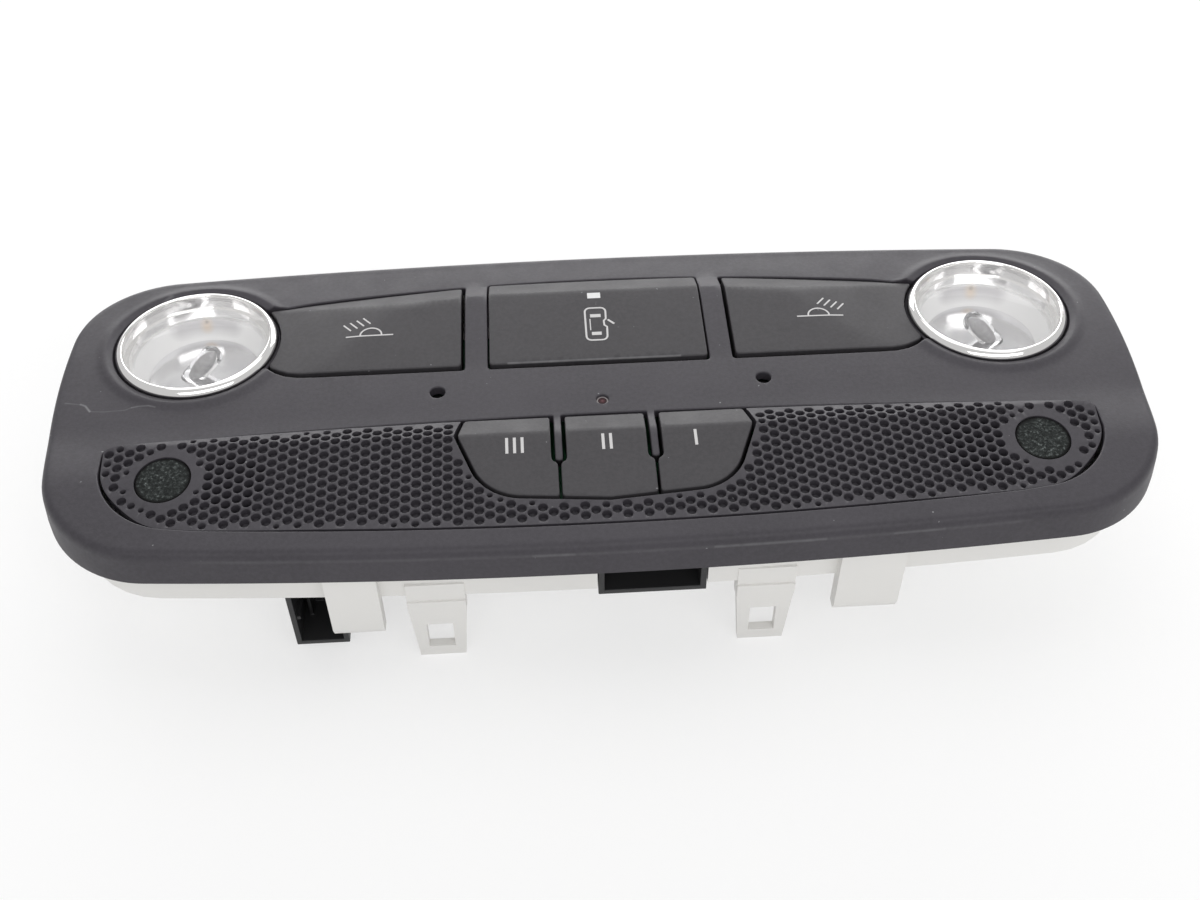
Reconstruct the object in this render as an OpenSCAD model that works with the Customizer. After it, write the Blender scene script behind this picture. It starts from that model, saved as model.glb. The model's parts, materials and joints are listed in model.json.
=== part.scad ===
// Overhead console lamp of a car: two reading lamps, six keys, a perforated
// front grille with two microphones, and the clip-in housing behind it.
// It lies on its rear clips with its face up. The face frame has its origin on
// the strip between the two rows of keys, where the indicator light sits.

/* [Console] */
// Overall length, side to side
console_l = 240; // [236:1:244]
// Overall width, front to back
console_w = 93.5; // [92.5:0.5:96]
// Corner radius of the outline
corner_r = 24; // [22:0.5:26]
// Bulge of the long sides
long_bulge = 3.3; // [2.8:0.1:3.8]
// Bulge of the short sides
short_bulge = 1; // [0.5:0.1:1.5]
// How much narrower each side is at the front
front_taper = 3.7; // [3:0.1:4.5]
// Place where the sides start to narrow
taper_from = 36; // [32:1:40]
// Height of the face above the edge that meets the roof lining
bezel_h = 8; // [7.5:0.1:9]
// Wall of the bezel
bezel_wall = 2.2; // [1.8:0.1:2.4]
// Radius of the lip
lip_r = 1.7; // [1.4:0.1:2.2]
// Draft of the lip's outer band, from its edge up to its round
lip_draft = 0.9; // [0.6:0.1:1.2]
// Radius of the face's crown, front to back
crown_r = 374; // [350:2:400]
// Rise of the front of the face above the middle strip
front_rise = 1.8; // [1.6:0.1:2]

/* [Reading lamps] */
// Distance of each lamp's axis from the end of the console
lamp_end = 30.25; // [29.5:0.25:31]
// Distance of the lamps' axes from the rear edge of the console
lamp_back = 28.2; // [27.5:0.1:28.5]
// Outer radius of the bright ring
ring_r = 18; // [17.6:0.1:18.2]
// Width of the bright ring
ring_w = 2; // [1.6:0.1:2.4]
// Gap around the bright ring
ring_gap = 0.7; // [0.5:0.1:0.8]
// Depth of the reflector
reflector_depth = 10.4; // [9.5:0.1:11]
// Radius of the reflector's floor
reflector_floor_r = 11.5; // [10.5:0.1:12.5]
// Lean of the bulb towards the middle of the console
bulb_lean = 30; // [25:1:32]
// Radius of the bulb's glass
bulb_r = 2.1; // [1.8:0.1:2.4]
// Length of the bulb's glass
bulb_l = 9; // [8:0.25:9.5]

/* [Large keys] */
// Front edge of the large keys
large_front = 12.1; // [12:0.1:12.5]
// Distance between the rear edges of the large keys and of the console
large_inset = 11.1; // [10.7:0.1:11.5]
// Width of the rear bevel of the large keys
large_bevel = 6.8; // [6:0.1:7.6]
// Sweep radius of the rear edge of the large keys
large_sweep_r = 455; // [430:5:500]
// Half width of the middle key
middle_key_hw = 24.15; // [23.5:0.05:24.2]
// Inner edge of the dividers beside the middle key
divider_in = 24.5; // [24.5:0.1:24.8]
// Outer edge of the dividers
divider_out = 29.6; // [29.2:0.1:29.8]
// Height of the crest of the large keys above the face datum
large_crest_h = 0.82; // [0.6:0.02:1]
// Gap between a large key and what surrounds it
large_gap = 0.8; // [0.6:0.05:0.9]

/* [Small keys] */
// Rear edge of the small keys and of the grille at the middle
grille_back = 4.5; // [4.3:0.1:4.7]
// Distance between the front edges of the small keys and of the grille
small_inset = 6; // [5.6:0.1:6.4]
// Half width of the row of small keys at its crest
small_hw = 31; // [30.5:0.1:31.5]
// Place of the splits between the small keys
split_x = 10; // [9.5:0.1:10.5]
// Gap between neighbouring small keys
small_gap = 0.4; // [0.4:0.05:0.6]
// Width of the bezel's fingers between the small keys
finger_w = 1.7; // [1.4:0.1:1.8]
// Width of the slot around a finger
finger_slot_w = 3.2; // [3:0.1:3.4]
// Reach of the fingers' slots from the indicator light
finger_reach = 19.1; // [18.5:0.1:19.5]

/* [Grille] */
// Distance between the front edges of the grille and of the console
grille_inset = 6.6; // [6.4:0.1:7]
// Crest of the grille, where its rear bevel starts
grille_crest = 10.7; // [10.4:0.1:11]
// Height of that crest above the face datum
grille_crest_h = 2.14; // [2:0.02:2.3]
// Radius of the front corners of the grille
grille_corner_r = 17.4; // [16.5:0.1:18]
// Distance between the ends of the grille and of the console
grille_end = 15.8; // [15.2:0.1:16.4]
// Gap around the grille
grille_gap = 0.35; // [0.25:0.05:0.45]
// Thickness of the grille
grille_t = 2.4; // [2:0.1:2.8]
// Distance between neighbouring dimples
dimple_pitch = 2.45; // [2.35:0.05:2.8]
// Radius of a dimple
dimple_r = 0.9; // [0.7:0.05:0.95]
// Depth of a dimple
dimple_depth = 0.9; // [0.5:0.1:1.2]
// Distance of the microphones from the ends of the grille
mic_end = 13.2; // [12.5:0.1:14]
// Distance of the microphones from the front edge of the grille
mic_inset = 16.4; // [15.9:0.1:16.9]
// Radius of the felt over a microphone
felt_r = 5.75; // [5.2:0.05:6]
// Radius of the plain ring around the felt
plain_ring_r = 8; // [7.5:0.1:8.5]

/* [Face lights] */
// Distance of the two foot lights from the middle
foot_light_x = 35.45; // [34.5:0.25:36.5]
// Place of the foot lights behind the indicator light
foot_light_y = 4.4; // [4:0.1:4.8]
// Radius of the holes of the foot lights
foot_light_r = 1.65; // [1.4:0.05:1.9]
// Radius of the hole of the indicator light
indicator_r = 1.3; // [1.1:0.05:1.5]

/* [Key mechanism] */
// Radius of the hinge pins
pin_r = 1; // [0.9:0.05:1.1]
// Running clearance around a hinge pin
pin_clearance = 0.06; // [0.05:0.01:0.08]
// Wall of the keys
key_wall = 1.3; // [1.1:0.1:1.4]
// Depth of the keys' skirts below the face datum
skirt_depth = 6.2; // [5.8:0.1:6.6]
// Gap between a key's foot and its switch
foot_gap = 0.12; // [0.1:0.01:0.2]
// Width of a hinge arm
arm_w = 2.6; // [2.2:0.1:2.8]
// Gap beside a hinge arm
arm_gap = 0.4; // [0.3:0.05:0.5]

/* [Circuit board] */
// Depth of the board's upper face below the face datum
board_depth = 13.5; // [13:0.1:14]
// Thickness of the board
board_t = 1.6; // [1.5:0.1:1.7]
// Side of a switch body
switch_side = 6; // [5.6:0.1:6.4]
// Height of a switch body
switch_h = 3.5; // [3.3:0.1:3.7]
// Radius of a switch plunger
plunger_r = 1.7; // [1.5:0.1:1.9]
// Height of a plunger above its switch
plunger_h = 1.5; // [1.4:0.05:1.6]

/* [Rear housing] */
// Inset of the housing from the outline
housing_inset = 5; // [4.8:0.1:5.4]
// Wall of the housing
housing_wall = 2; // [1.8:0.1:2.2]
// Depth of the housing's underside below the face datum
housing_depth = 19.5; // [19:0.1:20]
// Depth of the clips' ends below the face datum
clip_depth = 40; // [38:0.5:42]
// Width of a window clip
clip_w = 12.2; // [11.5:0.1:13]
// Width of the window in a clip
window_w = 5.6; // [5:0.1:6]
// Height of the window in a clip
window_h = 8; // [7:0.1:8.5]
// Height of the clip's bar below its window
clip_bar = 3; // [2.6:0.1:3.5]
// Radius of the screw posts
post_r = 2.8; // [2.6:0.1:2.9]
// Radius of the pilot holes in the posts
pilot_r = 1.1; // [1:0.05:1.2]

/* [Hidden] */

$fn = 48;
eps = 0.01;
far = 400;
half_l = console_l / 2;
half_w = console_w / 2;
lamp_x = half_l - lamp_end;
grille_hl = half_l - grille_end;
mic_x = grille_hl - mic_end;
// the indicator light lies this far in front of the middle of the outline
face_y = -5.75;
face_z = clip_depth;
rim_z = face_z - bezel_h;
front_edge = -half_w - face_y;
back_edge = half_w - face_y;
lamp_y = back_edge - lamp_back;
large_back = back_edge - large_inset;
large_crest = large_back - large_bevel;
grille_front = -front_edge - grille_inset;
small_front = grille_front - small_inset;
mic_y = grille_front - mic_inset;

// colours
face_colour = [0.17, 0.17, 0.18];
key_colour = [0.15, 0.15, 0.16];
housing_colour = [0.9, 0.9, 0.87];
black = [0.06, 0.06, 0.06];

// Heights of the face

// crown of the face at a place y, with the raised front blended in
blend_from = -2;
blend_l = 18;
function crown(y) = -y * y / (2 * crown_r);
function blend(t) = t <= 0 ? 0 : t >= 1 ? 1 : t * t * (3 - 2 * t);
function face_h(y) = crown(y) + front_rise * blend((blend_from - y) / blend_l);

// everything on the face is placed in this frame
module on_face() translate([0, face_y, face_z]) children();

// all that lies under the plane through p that slopes sx along X and sy along Y
module under_plane(p, sx, sy)
    translate(p)
    rotate([asin(sy / norm([sx, sy, 1])), atan(-sx), 0])
    translate([-far, -far, -far]) cube([2 * far, 2 * far, far]);

// Outline of the console

// angles at which the corner arcs meet the bulged sides
long_a = atan(2 * long_bulge / (half_l - corner_r));
short_a = atan(2 * short_bulge / (half_w - corner_r));
corner_cx = half_l - short_bulge - corner_r * cos(short_a);
corner_cy = half_w - long_bulge - corner_r * cos(long_a);
taper_power = 1.25;
side_steps = 7;
corner_steps = 7;
end_steps = 10;

function tapered(p) = let (t = max(0, (taper_from - p.y) / (taper_from + half_w)))
    [p.x * (1 - front_taper / half_l * pow(t, taper_power)), p.y];

// right half of the outline, front middle to back middle, pulled in by d
function half_outline(d) = let (
    r = corner_r - d,
    lx = corner_cx + r * sin(long_a),
    ly = corner_cy + r * sin(short_a))
    concat(
        [for (i = [0:side_steps - 1]) let (t = i / side_steps)
            tapered([t * lx, -half_w + d + long_bulge * t * t])],
        [for (i = [0:corner_steps - 1]) let (a = -90 + long_a + (90 - long_a - short_a) * i / corner_steps)
            tapered([corner_cx + r * cos(a), -corner_cy + r * sin(a)])],
        [for (i = [0:end_steps - 1]) let (t = 2 * i / end_steps - 1)
            tapered([half_l - d - short_bulge * t * t, t * ly])],
        [for (i = [0:corner_steps - 1]) let (a = short_a + (90 - long_a - short_a) * i / corner_steps)
            tapered([corner_cx + r * cos(a), corner_cy + r * sin(a)])],
        [for (i = [side_steps:-1:0]) let (t = i / side_steps)
            tapered([t * lx, half_w - d - long_bulge * t * t])]);

function whole_outline(d) = let (h = half_outline(d), n = len(h))
    concat(h, [for (i = [n - 2:-1:1]) [-h[i].x, h[i].y]]);

// solid between a flat underside and the crowned face; each ring is [inset, drop],
// a drop below the face, or the underside where the drop is undefined
module crowned_solid(rings, base_z) {
    half_n = len(half_outline(0));
    n = 2 * half_n - 2;
    points = [for (ring = rings) for (p = whole_outline(ring[0]))
        [p.x, p.y, is_undef(ring[1]) ? base_z : face_z + face_h(p.y - face_y) - ring[1]]];
    top = (len(rings) - 1) * n;
    function left(i) = (n - i) % n;
    sides = [for (k = [0:len(rings) - 2]) for (i = [0:n - 1])
        [k * n + i, (k + 1) * n + i, (k + 1) * n + (i + 1) % n, k * n + (i + 1) % n]];
    caps = [for (i = [0:half_n - 2]) each i == 0
        ? [[top, top + n - 1, top + 1], [0, 1, n - 1]]
        : i == half_n - 2
        ? [[top + i, top + left(i), top + i + 1], [i, i + 1, left(i)]]
        : [[top + i, top + left(i), top + left(i + 1), top + i + 1],
           [i, i + 1, left(i + 1), left(i)]]];
    polyhedron(points, concat(sides, caps));
}

// Large keys

large_base_h = crown(large_back);
bevel_slope = (large_crest_h - large_base_h) / (large_back - large_crest);
large_front_h = 0.1;
large_slope = (large_crest_h - large_front_h) / (large_crest - large_front);
// the side keys' surface falls away from here to the lamp
fade_to = lamp_x - ring_r - 4.75;
fade_from = fade_to - 25;
fade_drop_back = 2.07;
fade_drop_front = 0.2;

function sweep_y(x) = large_back - x * x / (2 * large_sweep_r);

// strip across the face between the front edge and the swept rear edge
module large_row(x0, x1) {
    steps = 12;
    polygon(concat([[x0, large_front], [x1, large_front]],
        [for (i = [steps:-1:0]) let (x = x0 + (x1 - x0) * i / steps) [x, sweep_y(x)]]));
}

side_key_in = divider_out + large_gap;
side_key_out = lamp_x - ring_r / 2;
module side_key_outline(lamp_gap) {
    chamfer_l = 9;
    difference() {
        large_row(side_key_in, side_key_out);
        translate([lamp_x, lamp_y]) circle(ring_r + lamp_gap);
        translate([lamp_x - ring_r - chamfer_l / 2, large_front])
            polygon([[0, 0], [chamfer_l, chamfer_l / 2], [chamfer_l, -1], [0, -1]]);
    }
}

// surface of the large keys: a gentle rise to the crest, then the rear bevel
module under_large_key(lower = 0) {
    intersection() {
        under_plane([0, large_crest, large_crest_h - lower], 0, large_slope);
        under_plane([0, large_crest, large_crest_h - lower], 0, -bevel_slope);
    }
}

module under_side_key(lower = 0) {
    p = [fade_from, large_crest, large_crest_h - lower];
    fade_x = -fade_drop_back / (fade_to - fade_from);
    fade_y = -(fade_drop_back - large_front_h - fade_drop_front - large_crest_h + large_front_h)
        / (large_crest - large_front);
    chord = (sweep_y(fade_to) - sweep_y(side_key_in)) / (fade_to - side_key_in);
    intersection() {
        under_plane(p, 0, large_slope);
        under_plane(p, fade_x, fade_y);
        under_plane([side_key_in, sweep_y(side_key_in), crown(sweep_y(side_key_in)) - lower],
            chord * bevel_slope, -bevel_slope);
    }
}

// Key mechanism, shared by all six keys

side_foot_x = lamp_x - 39.75;
middle_axis = [large_back + 2.1, -6.6];
side_axis = [large_back + 0.6, -6.6];
small_axis = [-grille_back + 5.4, -5];
large_switch_y = large_front + 7.9;
small_switch_y = -small_front + 12.4;
board_top = -board_depth;
plunger_top = board_top + switch_h + plunger_h;

// hinge arms reach back from a key's rear wall, each with a pin to one side
module hinge_arms(xs, from_y, axis, sides) {
    for (i = [0:len(xs) - 1]) {
        translate([xs[i] - arm_w / 2, from_y, axis.y - pin_r - 0.4])
            cube([arm_w, axis.x - from_y, 2 * pin_r + 0.8]);
        translate([xs[i] - arm_w / 2, axis.x, axis.y]) rotate([0, 90, 0])
            cylinder(h = arm_w, r = pin_r + 0.4);
        translate([xs[i] + (sides[i] > 0 ? 0 : -arm_w / 2 - arm_gap - ear_t), axis.x, axis.y])
            rotate([0, 90, 0]) cylinder(h = arm_w / 2 + arm_gap + ear_t, r = pin_r);
    }
}

// ears of the bezel that hold those pins, hanging from the face
ear_t = 1.6;
ear_reach = 2.2;
module hinge_ears(xs, axis, sides, top) {
    for (i = [0:len(xs) - 1])
        translate([xs[i] + (sides[i] > 0 ? arm_w / 2 + arm_gap : -arm_w / 2 - arm_gap - ear_t), 0, 0])
            difference() {
                translate([0, axis.x - ear_reach / 2 - 0.6, axis.y - pin_r - 1])
                    cube([ear_t, ear_reach + 1.2, top - axis.y + pin_r + 1]);
                translate([-eps, axis.x, axis.y]) rotate([0, 90, 0])
                    cylinder(h = ear_t + 2 * eps, r = pin_r + pin_clearance);
            }
}

middle_arms = [-17, 17];
side_arms = [side_foot_x - 10, side_foot_x + 10];
small_arms = [-6.2, 6.2];
outward = [-1, 1];

// post under a key that presses its switch
module key_foot(x, y, top)
    translate([x, y, plunger_top + foot_gap]) cylinder(h = top - plunger_top - foot_gap, r = 1.8);

// hollow under a key, with its wall and roof left standing
module key_hollow(depth) {
    translate([0, 0, -skirt_depth - eps]) linear_extrude(skirt_depth - depth) offset(delta = -key_wall)
        children();
}

module door_light_key() color(key_colour) on_face() {
    difference() {
        union() {
            difference() {
                intersection() {
                    translate([0, 0, -skirt_depth]) linear_extrude(far)
                        large_row(-middle_key_hw, middle_key_hw);
                    under_large_key();
                }
                intersection() {
                    key_hollow(0) large_row(-middle_key_hw, middle_key_hw);
                    under_large_key(key_wall + 0.3);
                }
            }
            key_foot(0, large_switch_y, -1);
            hinge_arms(middle_arms, large_back - key_wall - 1, middle_axis, outward);
        }
        on_large_slope() window_hole();
    }
}

window_y = large_crest - 1.9;
window_size = [3, 1.8];
module on_large_slope() translate([0, window_y, large_crest_h - (large_crest - window_y) * large_slope])
    rotate([atan(large_slope), 0, 0]) children();
module window_hole() translate([0, 0, -2]) cube([window_size.x, window_size.y, 6], center = true);

module door_light_window() color("white") on_face() on_large_slope()
    translate([0, 0, -1.2]) cube([window_size.x, window_size.y, 2.4], center = true);

module side_key_solid() {
    skirt_gap = 3.6;
    difference() {
        union() {
            difference() {
                intersection() {
                    union() {
                        translate([0, 0, -skirt_depth]) linear_extrude(far) side_key_outline(skirt_gap);
                        translate([0, 0, side_plate_z]) linear_extrude(far) side_key_outline(ring_gap + 0.2);
                    }
                    under_side_key();
                }
                intersection() {
                    key_hollow(0) side_key_outline(skirt_gap);
                    under_side_key(key_wall + 0.3);
                }
            }
            key_foot(side_foot_x, large_switch_y, -1);
            hinge_arms(side_arms, sweep_y(side_arms[1]) - key_wall - 1, side_axis, outward);
        }
    }
}
// underside of the lip that the side keys reach over the lamp tubes
side_plate_z = -3;
// the large openings are cut down to here, past the face's underside and clear
// of that lip when a key is pressed
opening_z = -4.8;

module reading_key_right() color(key_colour) on_face() side_key_solid();
module reading_key_left() color(key_colour) on_face() mirror([1, 0, 0]) side_key_solid();

// Small keys

small_corner_r = 9;
small_corner = [small_hw - 11.4, -small_front + small_corner_r + 0.5];
grille_back_sweep_r = 1396;
grille_front_sweep_r = 1103;
function grille_back_y(x) = -grille_back - x * x / (2 * grille_back_sweep_r);

module small_row(gap = 0) {
    offset(delta = gap) polygon(concat(
        [[-small_hw + 1.2, -grille_back - 0.3], [small_hw - 1.2, -grille_back - 0.3], [small_hw, -grille_crest]],
        [for (a = [8:-11:-80]) small_corner + small_corner_r * [cos(a), sin(a)]],
        [[0, -small_front]],
        [for (a = [-80:11:8]) [-small_corner.x - small_corner_r * cos(a), small_corner.y
            + small_corner_r * sin(a)]],
        [[-small_hw, -grille_crest]]));
}

finger_root = 4;
module finger_slots(w, reach)
    for (x = [-split_x, split_x]) translate([x, 0]) hull() {
        translate([0, -reach + w / 2]) circle(w / 2, $fn = 24);
        translate([-w / 2, -finger_root]) square([w, 1]);
    }

module small_key_outline(index) {
    x0 = index == 0 ? -small_hw - 1 : index == 1 ? -split_x + small_gap / 2 : split_x + small_gap / 2;
    x1 = index == 0 ? -split_x - small_gap / 2 : index == 1 ? split_x - small_gap / 2 : small_hw + 1;
    difference() {
        intersection() {
            small_row();
            translate([x0, -small_front - 1]) square([x1 - x0, small_front]);
        }
        finger_slots(finger_slot_w, finger_reach);
    }
}

grille_slope = (grille_crest_h - face_h(-grille_front)) / (grille_front - grille_crest);
grille_bevel = (grille_crest_h - crown(-grille_back)) / (grille_crest - grille_back);

// surface shared by the grille and the small keys: up from the front edge to
// the crest, down the rear bevel, and falling away towards both ends
module under_grille(lower = 0) {
    intersection() {
        under_plane([0, -grille_crest, grille_crest_h - lower], 0, grille_slope);
        under_plane([0, -grille_crest, grille_crest_h - lower], 0, -grille_bevel);
        for (s = [-1, 1])
            under_plane([s * end_fade_from, -grille_crest, grille_crest_h - lower],
                -s * end_fade_drop / (grille_hl - end_fade_from), grille_slope);
    }
}
end_fade_from = 58;
end_fade_drop = 1.1;

small_key_x = [-20.2, 0, 20.2];
module small_key(index) color(key_colour) on_face() {
    x = small_key_x[index];
    difference() {
        intersection() {
            translate([0, 0, -skirt_depth]) linear_extrude(far) small_key_outline(index);
            under_grille();
        }
        intersection() {
            key_hollow(0) small_key_outline(index);
            under_grille(key_wall + 0.3);
        }
    }
    key_foot(x, small_switch_y, 0);
    hinge_arms([for (a = small_arms) x + a + (index - 1) * small_arm_shift], -grille_back - 2, small_axis,
        outward);
}
small_arm_shift = 0.4;

module preset_key_3() small_key(0);
module preset_key_2() small_key(1);
module preset_key_1() small_key(2);

// Bezel

module bezel_shell() {
    lip_steps = 4;
    lip = [for (i = [0:lip_steps]) let (a = 12 + 78 * i / lip_steps)
        [lip_draft + lip_r * (cos(12) - cos(a)), lip_r * (1 - sin(a))]];
    difference() {
        crowned_solid(concat([[0, undef]], lip), rim_z);
        crowned_solid([[bezel_wall, undef], [bezel_wall, bezel_wall + lip_r / 2],
            [bezel_wall + lip_r / 2, bezel_wall]], rim_z - 1);
    }
}

// stack of the lamp: the ring's top is 0, the axis follows the crown
module at_lamp(side) translate([side * lamp_x, lamp_y, crown(lamp_y)])
    rotate([-asin(lamp_y / crown_r), 0, 0]) children();
tube_r = ring_r + ring_gap;
tube_wall = 1.5;
tube_depth = 11;
seat_z = -6.2;

module lamp_tube() rotate_extrude() polygon([[tube_r, -1.2], [tube_r + tube_wall, -1.2],
    [tube_r + tube_wall, -tube_depth], [ring_r - 1.2, -tube_depth], [ring_r - 1.2, seat_z],
    [tube_r, seat_z]]);
// soft raised collar around the lamp
module lamp_collar() rotate_extrude() polygon([[tube_r, -1.6], [tube_r + 3.4, -1.6], [tube_r + 3.4, -0.5],
    [tube_r + 2.4, 0.05], [tube_r + 1.4, 0.4], [tube_r + 0.5, 0.5], [tube_r, 0.35]]);

module large_openings() {
    offset(delta = large_gap / 2) large_row(-middle_key_hw, middle_key_hw);
    for (s = [0, 1]) mirror([s, 0]) offset(delta = large_gap / 2) side_key_outline(0);
    translate([0, large_front]) square([2 * (lamp_x - ring_r - 4), 2.2], center = true);
}

module divider() {
    lower = 0.3;
    intersection() {
        translate([divider_in, large_front - 2, opening_z - 0.2]) cube([divider_out - divider_in, far, far]);
        under_large_key(lower);
        translate([0, large_back + 1.5 - far, -far / 2]) cube(far);
    }
}

module finger() intersection() {
    translate([split_x, 0, -skirt_depth]) linear_extrude(far) hull() {
        translate([0, -finger_reach + finger_slot_w / 2]) circle(finger_w / 2, $fn = 24);
        translate([-finger_w / 2, -finger_root]) square([finger_w, 1]);
    }
    under_grille(0.25);
}

housing_posts = [[lamp_x - ring_r - 1.25, 1], [lamp_x - ring_r - 0.25, back_edge - 12.5], [half_l - 12, -1]];
module screw_posts() for (p = housing_posts) translate([p.x, p.y, -housing_depth + housing_wall])
    cylinder(h = housing_depth - housing_wall + face_h(p.y) - bezel_wall + 0.5, r = post_r);

module bezel() color(face_colour) difference() {
    union() {
        bezel_shell();
        on_face() {
            for (s = [0, 1]) mirror([s, 0, 0]) {
                screw_posts();
                hinge_ears(side_arms, side_axis, outward, crown(side_axis.x) - 1);
            }
            hinge_ears(middle_arms, middle_axis, outward, crown(middle_axis.x) - 1);
            for (i = [0:2])
                hinge_ears([for (a = small_arms) small_key_x[i] + a + (i - 1) * small_arm_shift], small_axis,
                    outward, -1);
            for (s = [-1, 1]) at_lamp(s) {
                lamp_tube();
                lamp_collar();
            }
            for (s = [0, 1]) mirror([s, 0, 0]) {
                finger();
                divider();
            }
        }
    }
    on_face() {
        difference() {
            translate([0, 0, opening_z]) linear_extrude(far) large_openings();
            for (s = [0, 1]) mirror([s, 0, 0]) divider();
        }
        translate([0, 0, -3.6]) linear_extrude(far) difference() {
            offset(delta = grille_gap) grille_outline();
            finger_slots(finger_w, finger_reach - (finger_slot_w - finger_w) / 2);
        }
        for (s = [-1, 1]) {
            at_lamp(s) translate([0, 0, seat_z]) cylinder(h = far, r = tube_r);
            translate([s * foot_light_x, foot_light_y, -far / 2]) cylinder(h = far, r = foot_light_r);
        }
        translate([0, 0, -far / 2]) cylinder(h = far, r = indicator_r);
        for (s = [-1, 1]) for (p = housing_posts) translate([s * p.x, p.y, -housing_depth])
            cylinder(h = housing_depth - 6, r = pilot_r, $fn = 24);
    }
}

// Grille

grille_corner = [grille_hl - grille_corner_r, -grille_front + grille_corner_r + 3.8];
tip_r = 2;
tip = [grille_hl - tip_r, grille_corner.y + 2.7];
function grille_front_y(x) = -grille_front + x * x / (2 * grille_front_sweep_r);
grille_steps = 8;
front_sweep_to = grille_corner.x - 2.8;
back_sweep_to = grille_hl - 4 * tip_r;
half_grille = concat(
    [for (i = [0:grille_steps]) let (x = front_sweep_to * i / grille_steps) [x, grille_front_y(x)]],
    [for (a = [-80:12:-8]) grille_corner + grille_corner_r * [cos(a), sin(a)]],
    [for (a = [-10:25:90]) tip + tip_r * [cos(a), sin(a)]],
    [for (i = [grille_steps:-1:0]) let (x = back_sweep_to * i / grille_steps) [x, grille_back_y(x)]]);
module grille_outline() polygon(concat(half_grille,
    [for (i = [len(half_grille) - 2:-1:1]) [-half_grille[i].x, half_grille[i].y]]));

// the dimples form a regular lattice, with rows offset in every other column
column_pitch = dimple_pitch * sqrt(3) / 2;
columns = floor(grille_hl / column_pitch);
rows = ceil(grille_front / dimple_pitch);
function lattice(i, j) = [(i + 0.5) * column_pitch, -(j + (abs(i) % 2) / 2) * dimple_pitch - 2];
function grille_end_x(y) = y > grille_corner.y ? grille_hl
    : grille_corner.x + sqrt(max(0, pow(grille_corner_r, 2) - pow(y - grille_corner.y, 2)));
rim = 1.15;
function in_grille(p) = p.y < grille_back_y(p.x) - 0.5 && p.y > grille_front_y(p.x) + rim
    && abs(p.x) < grille_end_x(p.y) - rim - 0.3
    && (abs(p.x) < grille_corner.x || norm([abs(p.x), p.y] - grille_corner) < grille_corner_r - rim
        || p.y > grille_corner.y);
function key_half(y) = y > -grille_crest ? small_hw
    : y > small_corner.y ? small_hw - 2.6 * (-grille_crest - y) / (-grille_crest - small_corner.y)
    : small_corner.x + sqrt(max(0, pow(small_corner_r, 2) - pow(y - small_corner.y, 2)));
function near_keys(p) = p.y > -small_front - 1.5 && abs(p.x) < key_half(p.y) + 1.5;
function near_mic(p) = norm([abs(p.x) - mic_x, p.y + mic_y]) < plain_ring_r + dimple_r;
function open_hole(p) = norm([abs(p.x) - open_x, p.y + open_y]) < open_r;
open_x = mic_x - 14.2;
open_y = mic_y + 1.4;
open_r = 7.3;

// height of the grille's surface
function grille_h(p) = min(grille_crest_h - grille_slope * (-grille_crest - p.y),
    grille_crest_h + grille_bevel * (-grille_crest - p.y),
    grille_crest_h - grille_slope * (-grille_crest - p.y)
        - end_fade_drop * (abs(p.x) - end_fade_from) / (grille_hl - end_fade_from));

module grille() color(face_colour) on_face() difference() {
    intersection() {
        translate([0, 0, -grille_t]) linear_extrude(far) difference() {
            grille_outline();
            small_row(grille_gap);
            for (s = [-1, 1]) translate([s * mic_x, -mic_y]) circle(felt_r + 0.05);
            translate([-small_hw + 1.2, -grille_back - 1]) square([2 * small_hw - 2.4, 2]);
        }
        under_grille();
    }
    for (i = [-columns - 1:columns]) for (j = [0:rows]) let (p = lattice(i, j))
        if (in_grille(p) && !near_keys(p) && !near_mic(p))
            translate([p.x, p.y, open_hole(p) ? -far / 2 : grille_h(p) - dimple_depth])
                cylinder(h = far, r = dimple_r, $fn = 24);
}

// Lamps

module lens_ring(side) color([0.85, 0.85, 0.85]) on_face() at_lamp(side) rotate_extrude($fn = 96)
    polygon([[ring_r - ring_w, 0.1], [ring_r - ring_w / 2, 0.6], [ring_r - 0.3, 0.4], [ring_r, -0.2],
        [ring_r, -3.4], [tube_r - 0.1, -3.4], [tube_r - 0.1, -5], [ring_r - ring_w - 0.6, -5],
        [ring_r - ring_w - 0.6, -2.6], [ring_r - ring_w, -2.6]]);

lens_r = ring_r - ring_w - 0.05;
module lens(side) color([0.9, 0.93, 0.95, 0.5]) on_face() at_lamp(side) rotate_extrude($fn = 96)
    polygon([[0, 1], [lens_r * 0.4, 0.85], [lens_r * 0.75, 0.5], [lens_r, 0], [lens_r, -2.55],
        [lens_r - 0.6, -2.55], [lens_r - 0.6, -4.4], [lens_r - 1.6, -4.4], [lens_r - 1.6, -1.6],
        [0, -0.6]]);

reflector_wall = 0.9;
module reflector(side) color([0.82, 0.82, 0.8]) on_face() at_lamp(side) difference() {
    rotate_extrude($fn = 96) polygon([[lens_r - 1.2, -5.05], [tube_r - 0.1, -5.05], [tube_r - 0.1, seat_z + 0.05],
        [ring_r - 1.5, seat_z + 0.05], [ring_r - 1.5, -6.8],
        [reflector_floor_r + 1.6, -reflector_depth - reflector_wall], [0, -reflector_depth - reflector_wall],
        [0, -reflector_depth], [reflector_floor_r, -reflector_depth], [reflector_floor_r + 1.8, -8.2]]);
    at_bulb(side) cylinder(h = far, r = bulb_r + 0.6, center = true);
}

// the bulb leans towards the middle of the console, from a point on the reflector's floor
bulb_foot_x = 2.9;
module at_bulb(side) translate([side * bulb_foot_x, 0, -reflector_depth]) rotate([0, -side * bulb_lean, 0])
    children();

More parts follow.
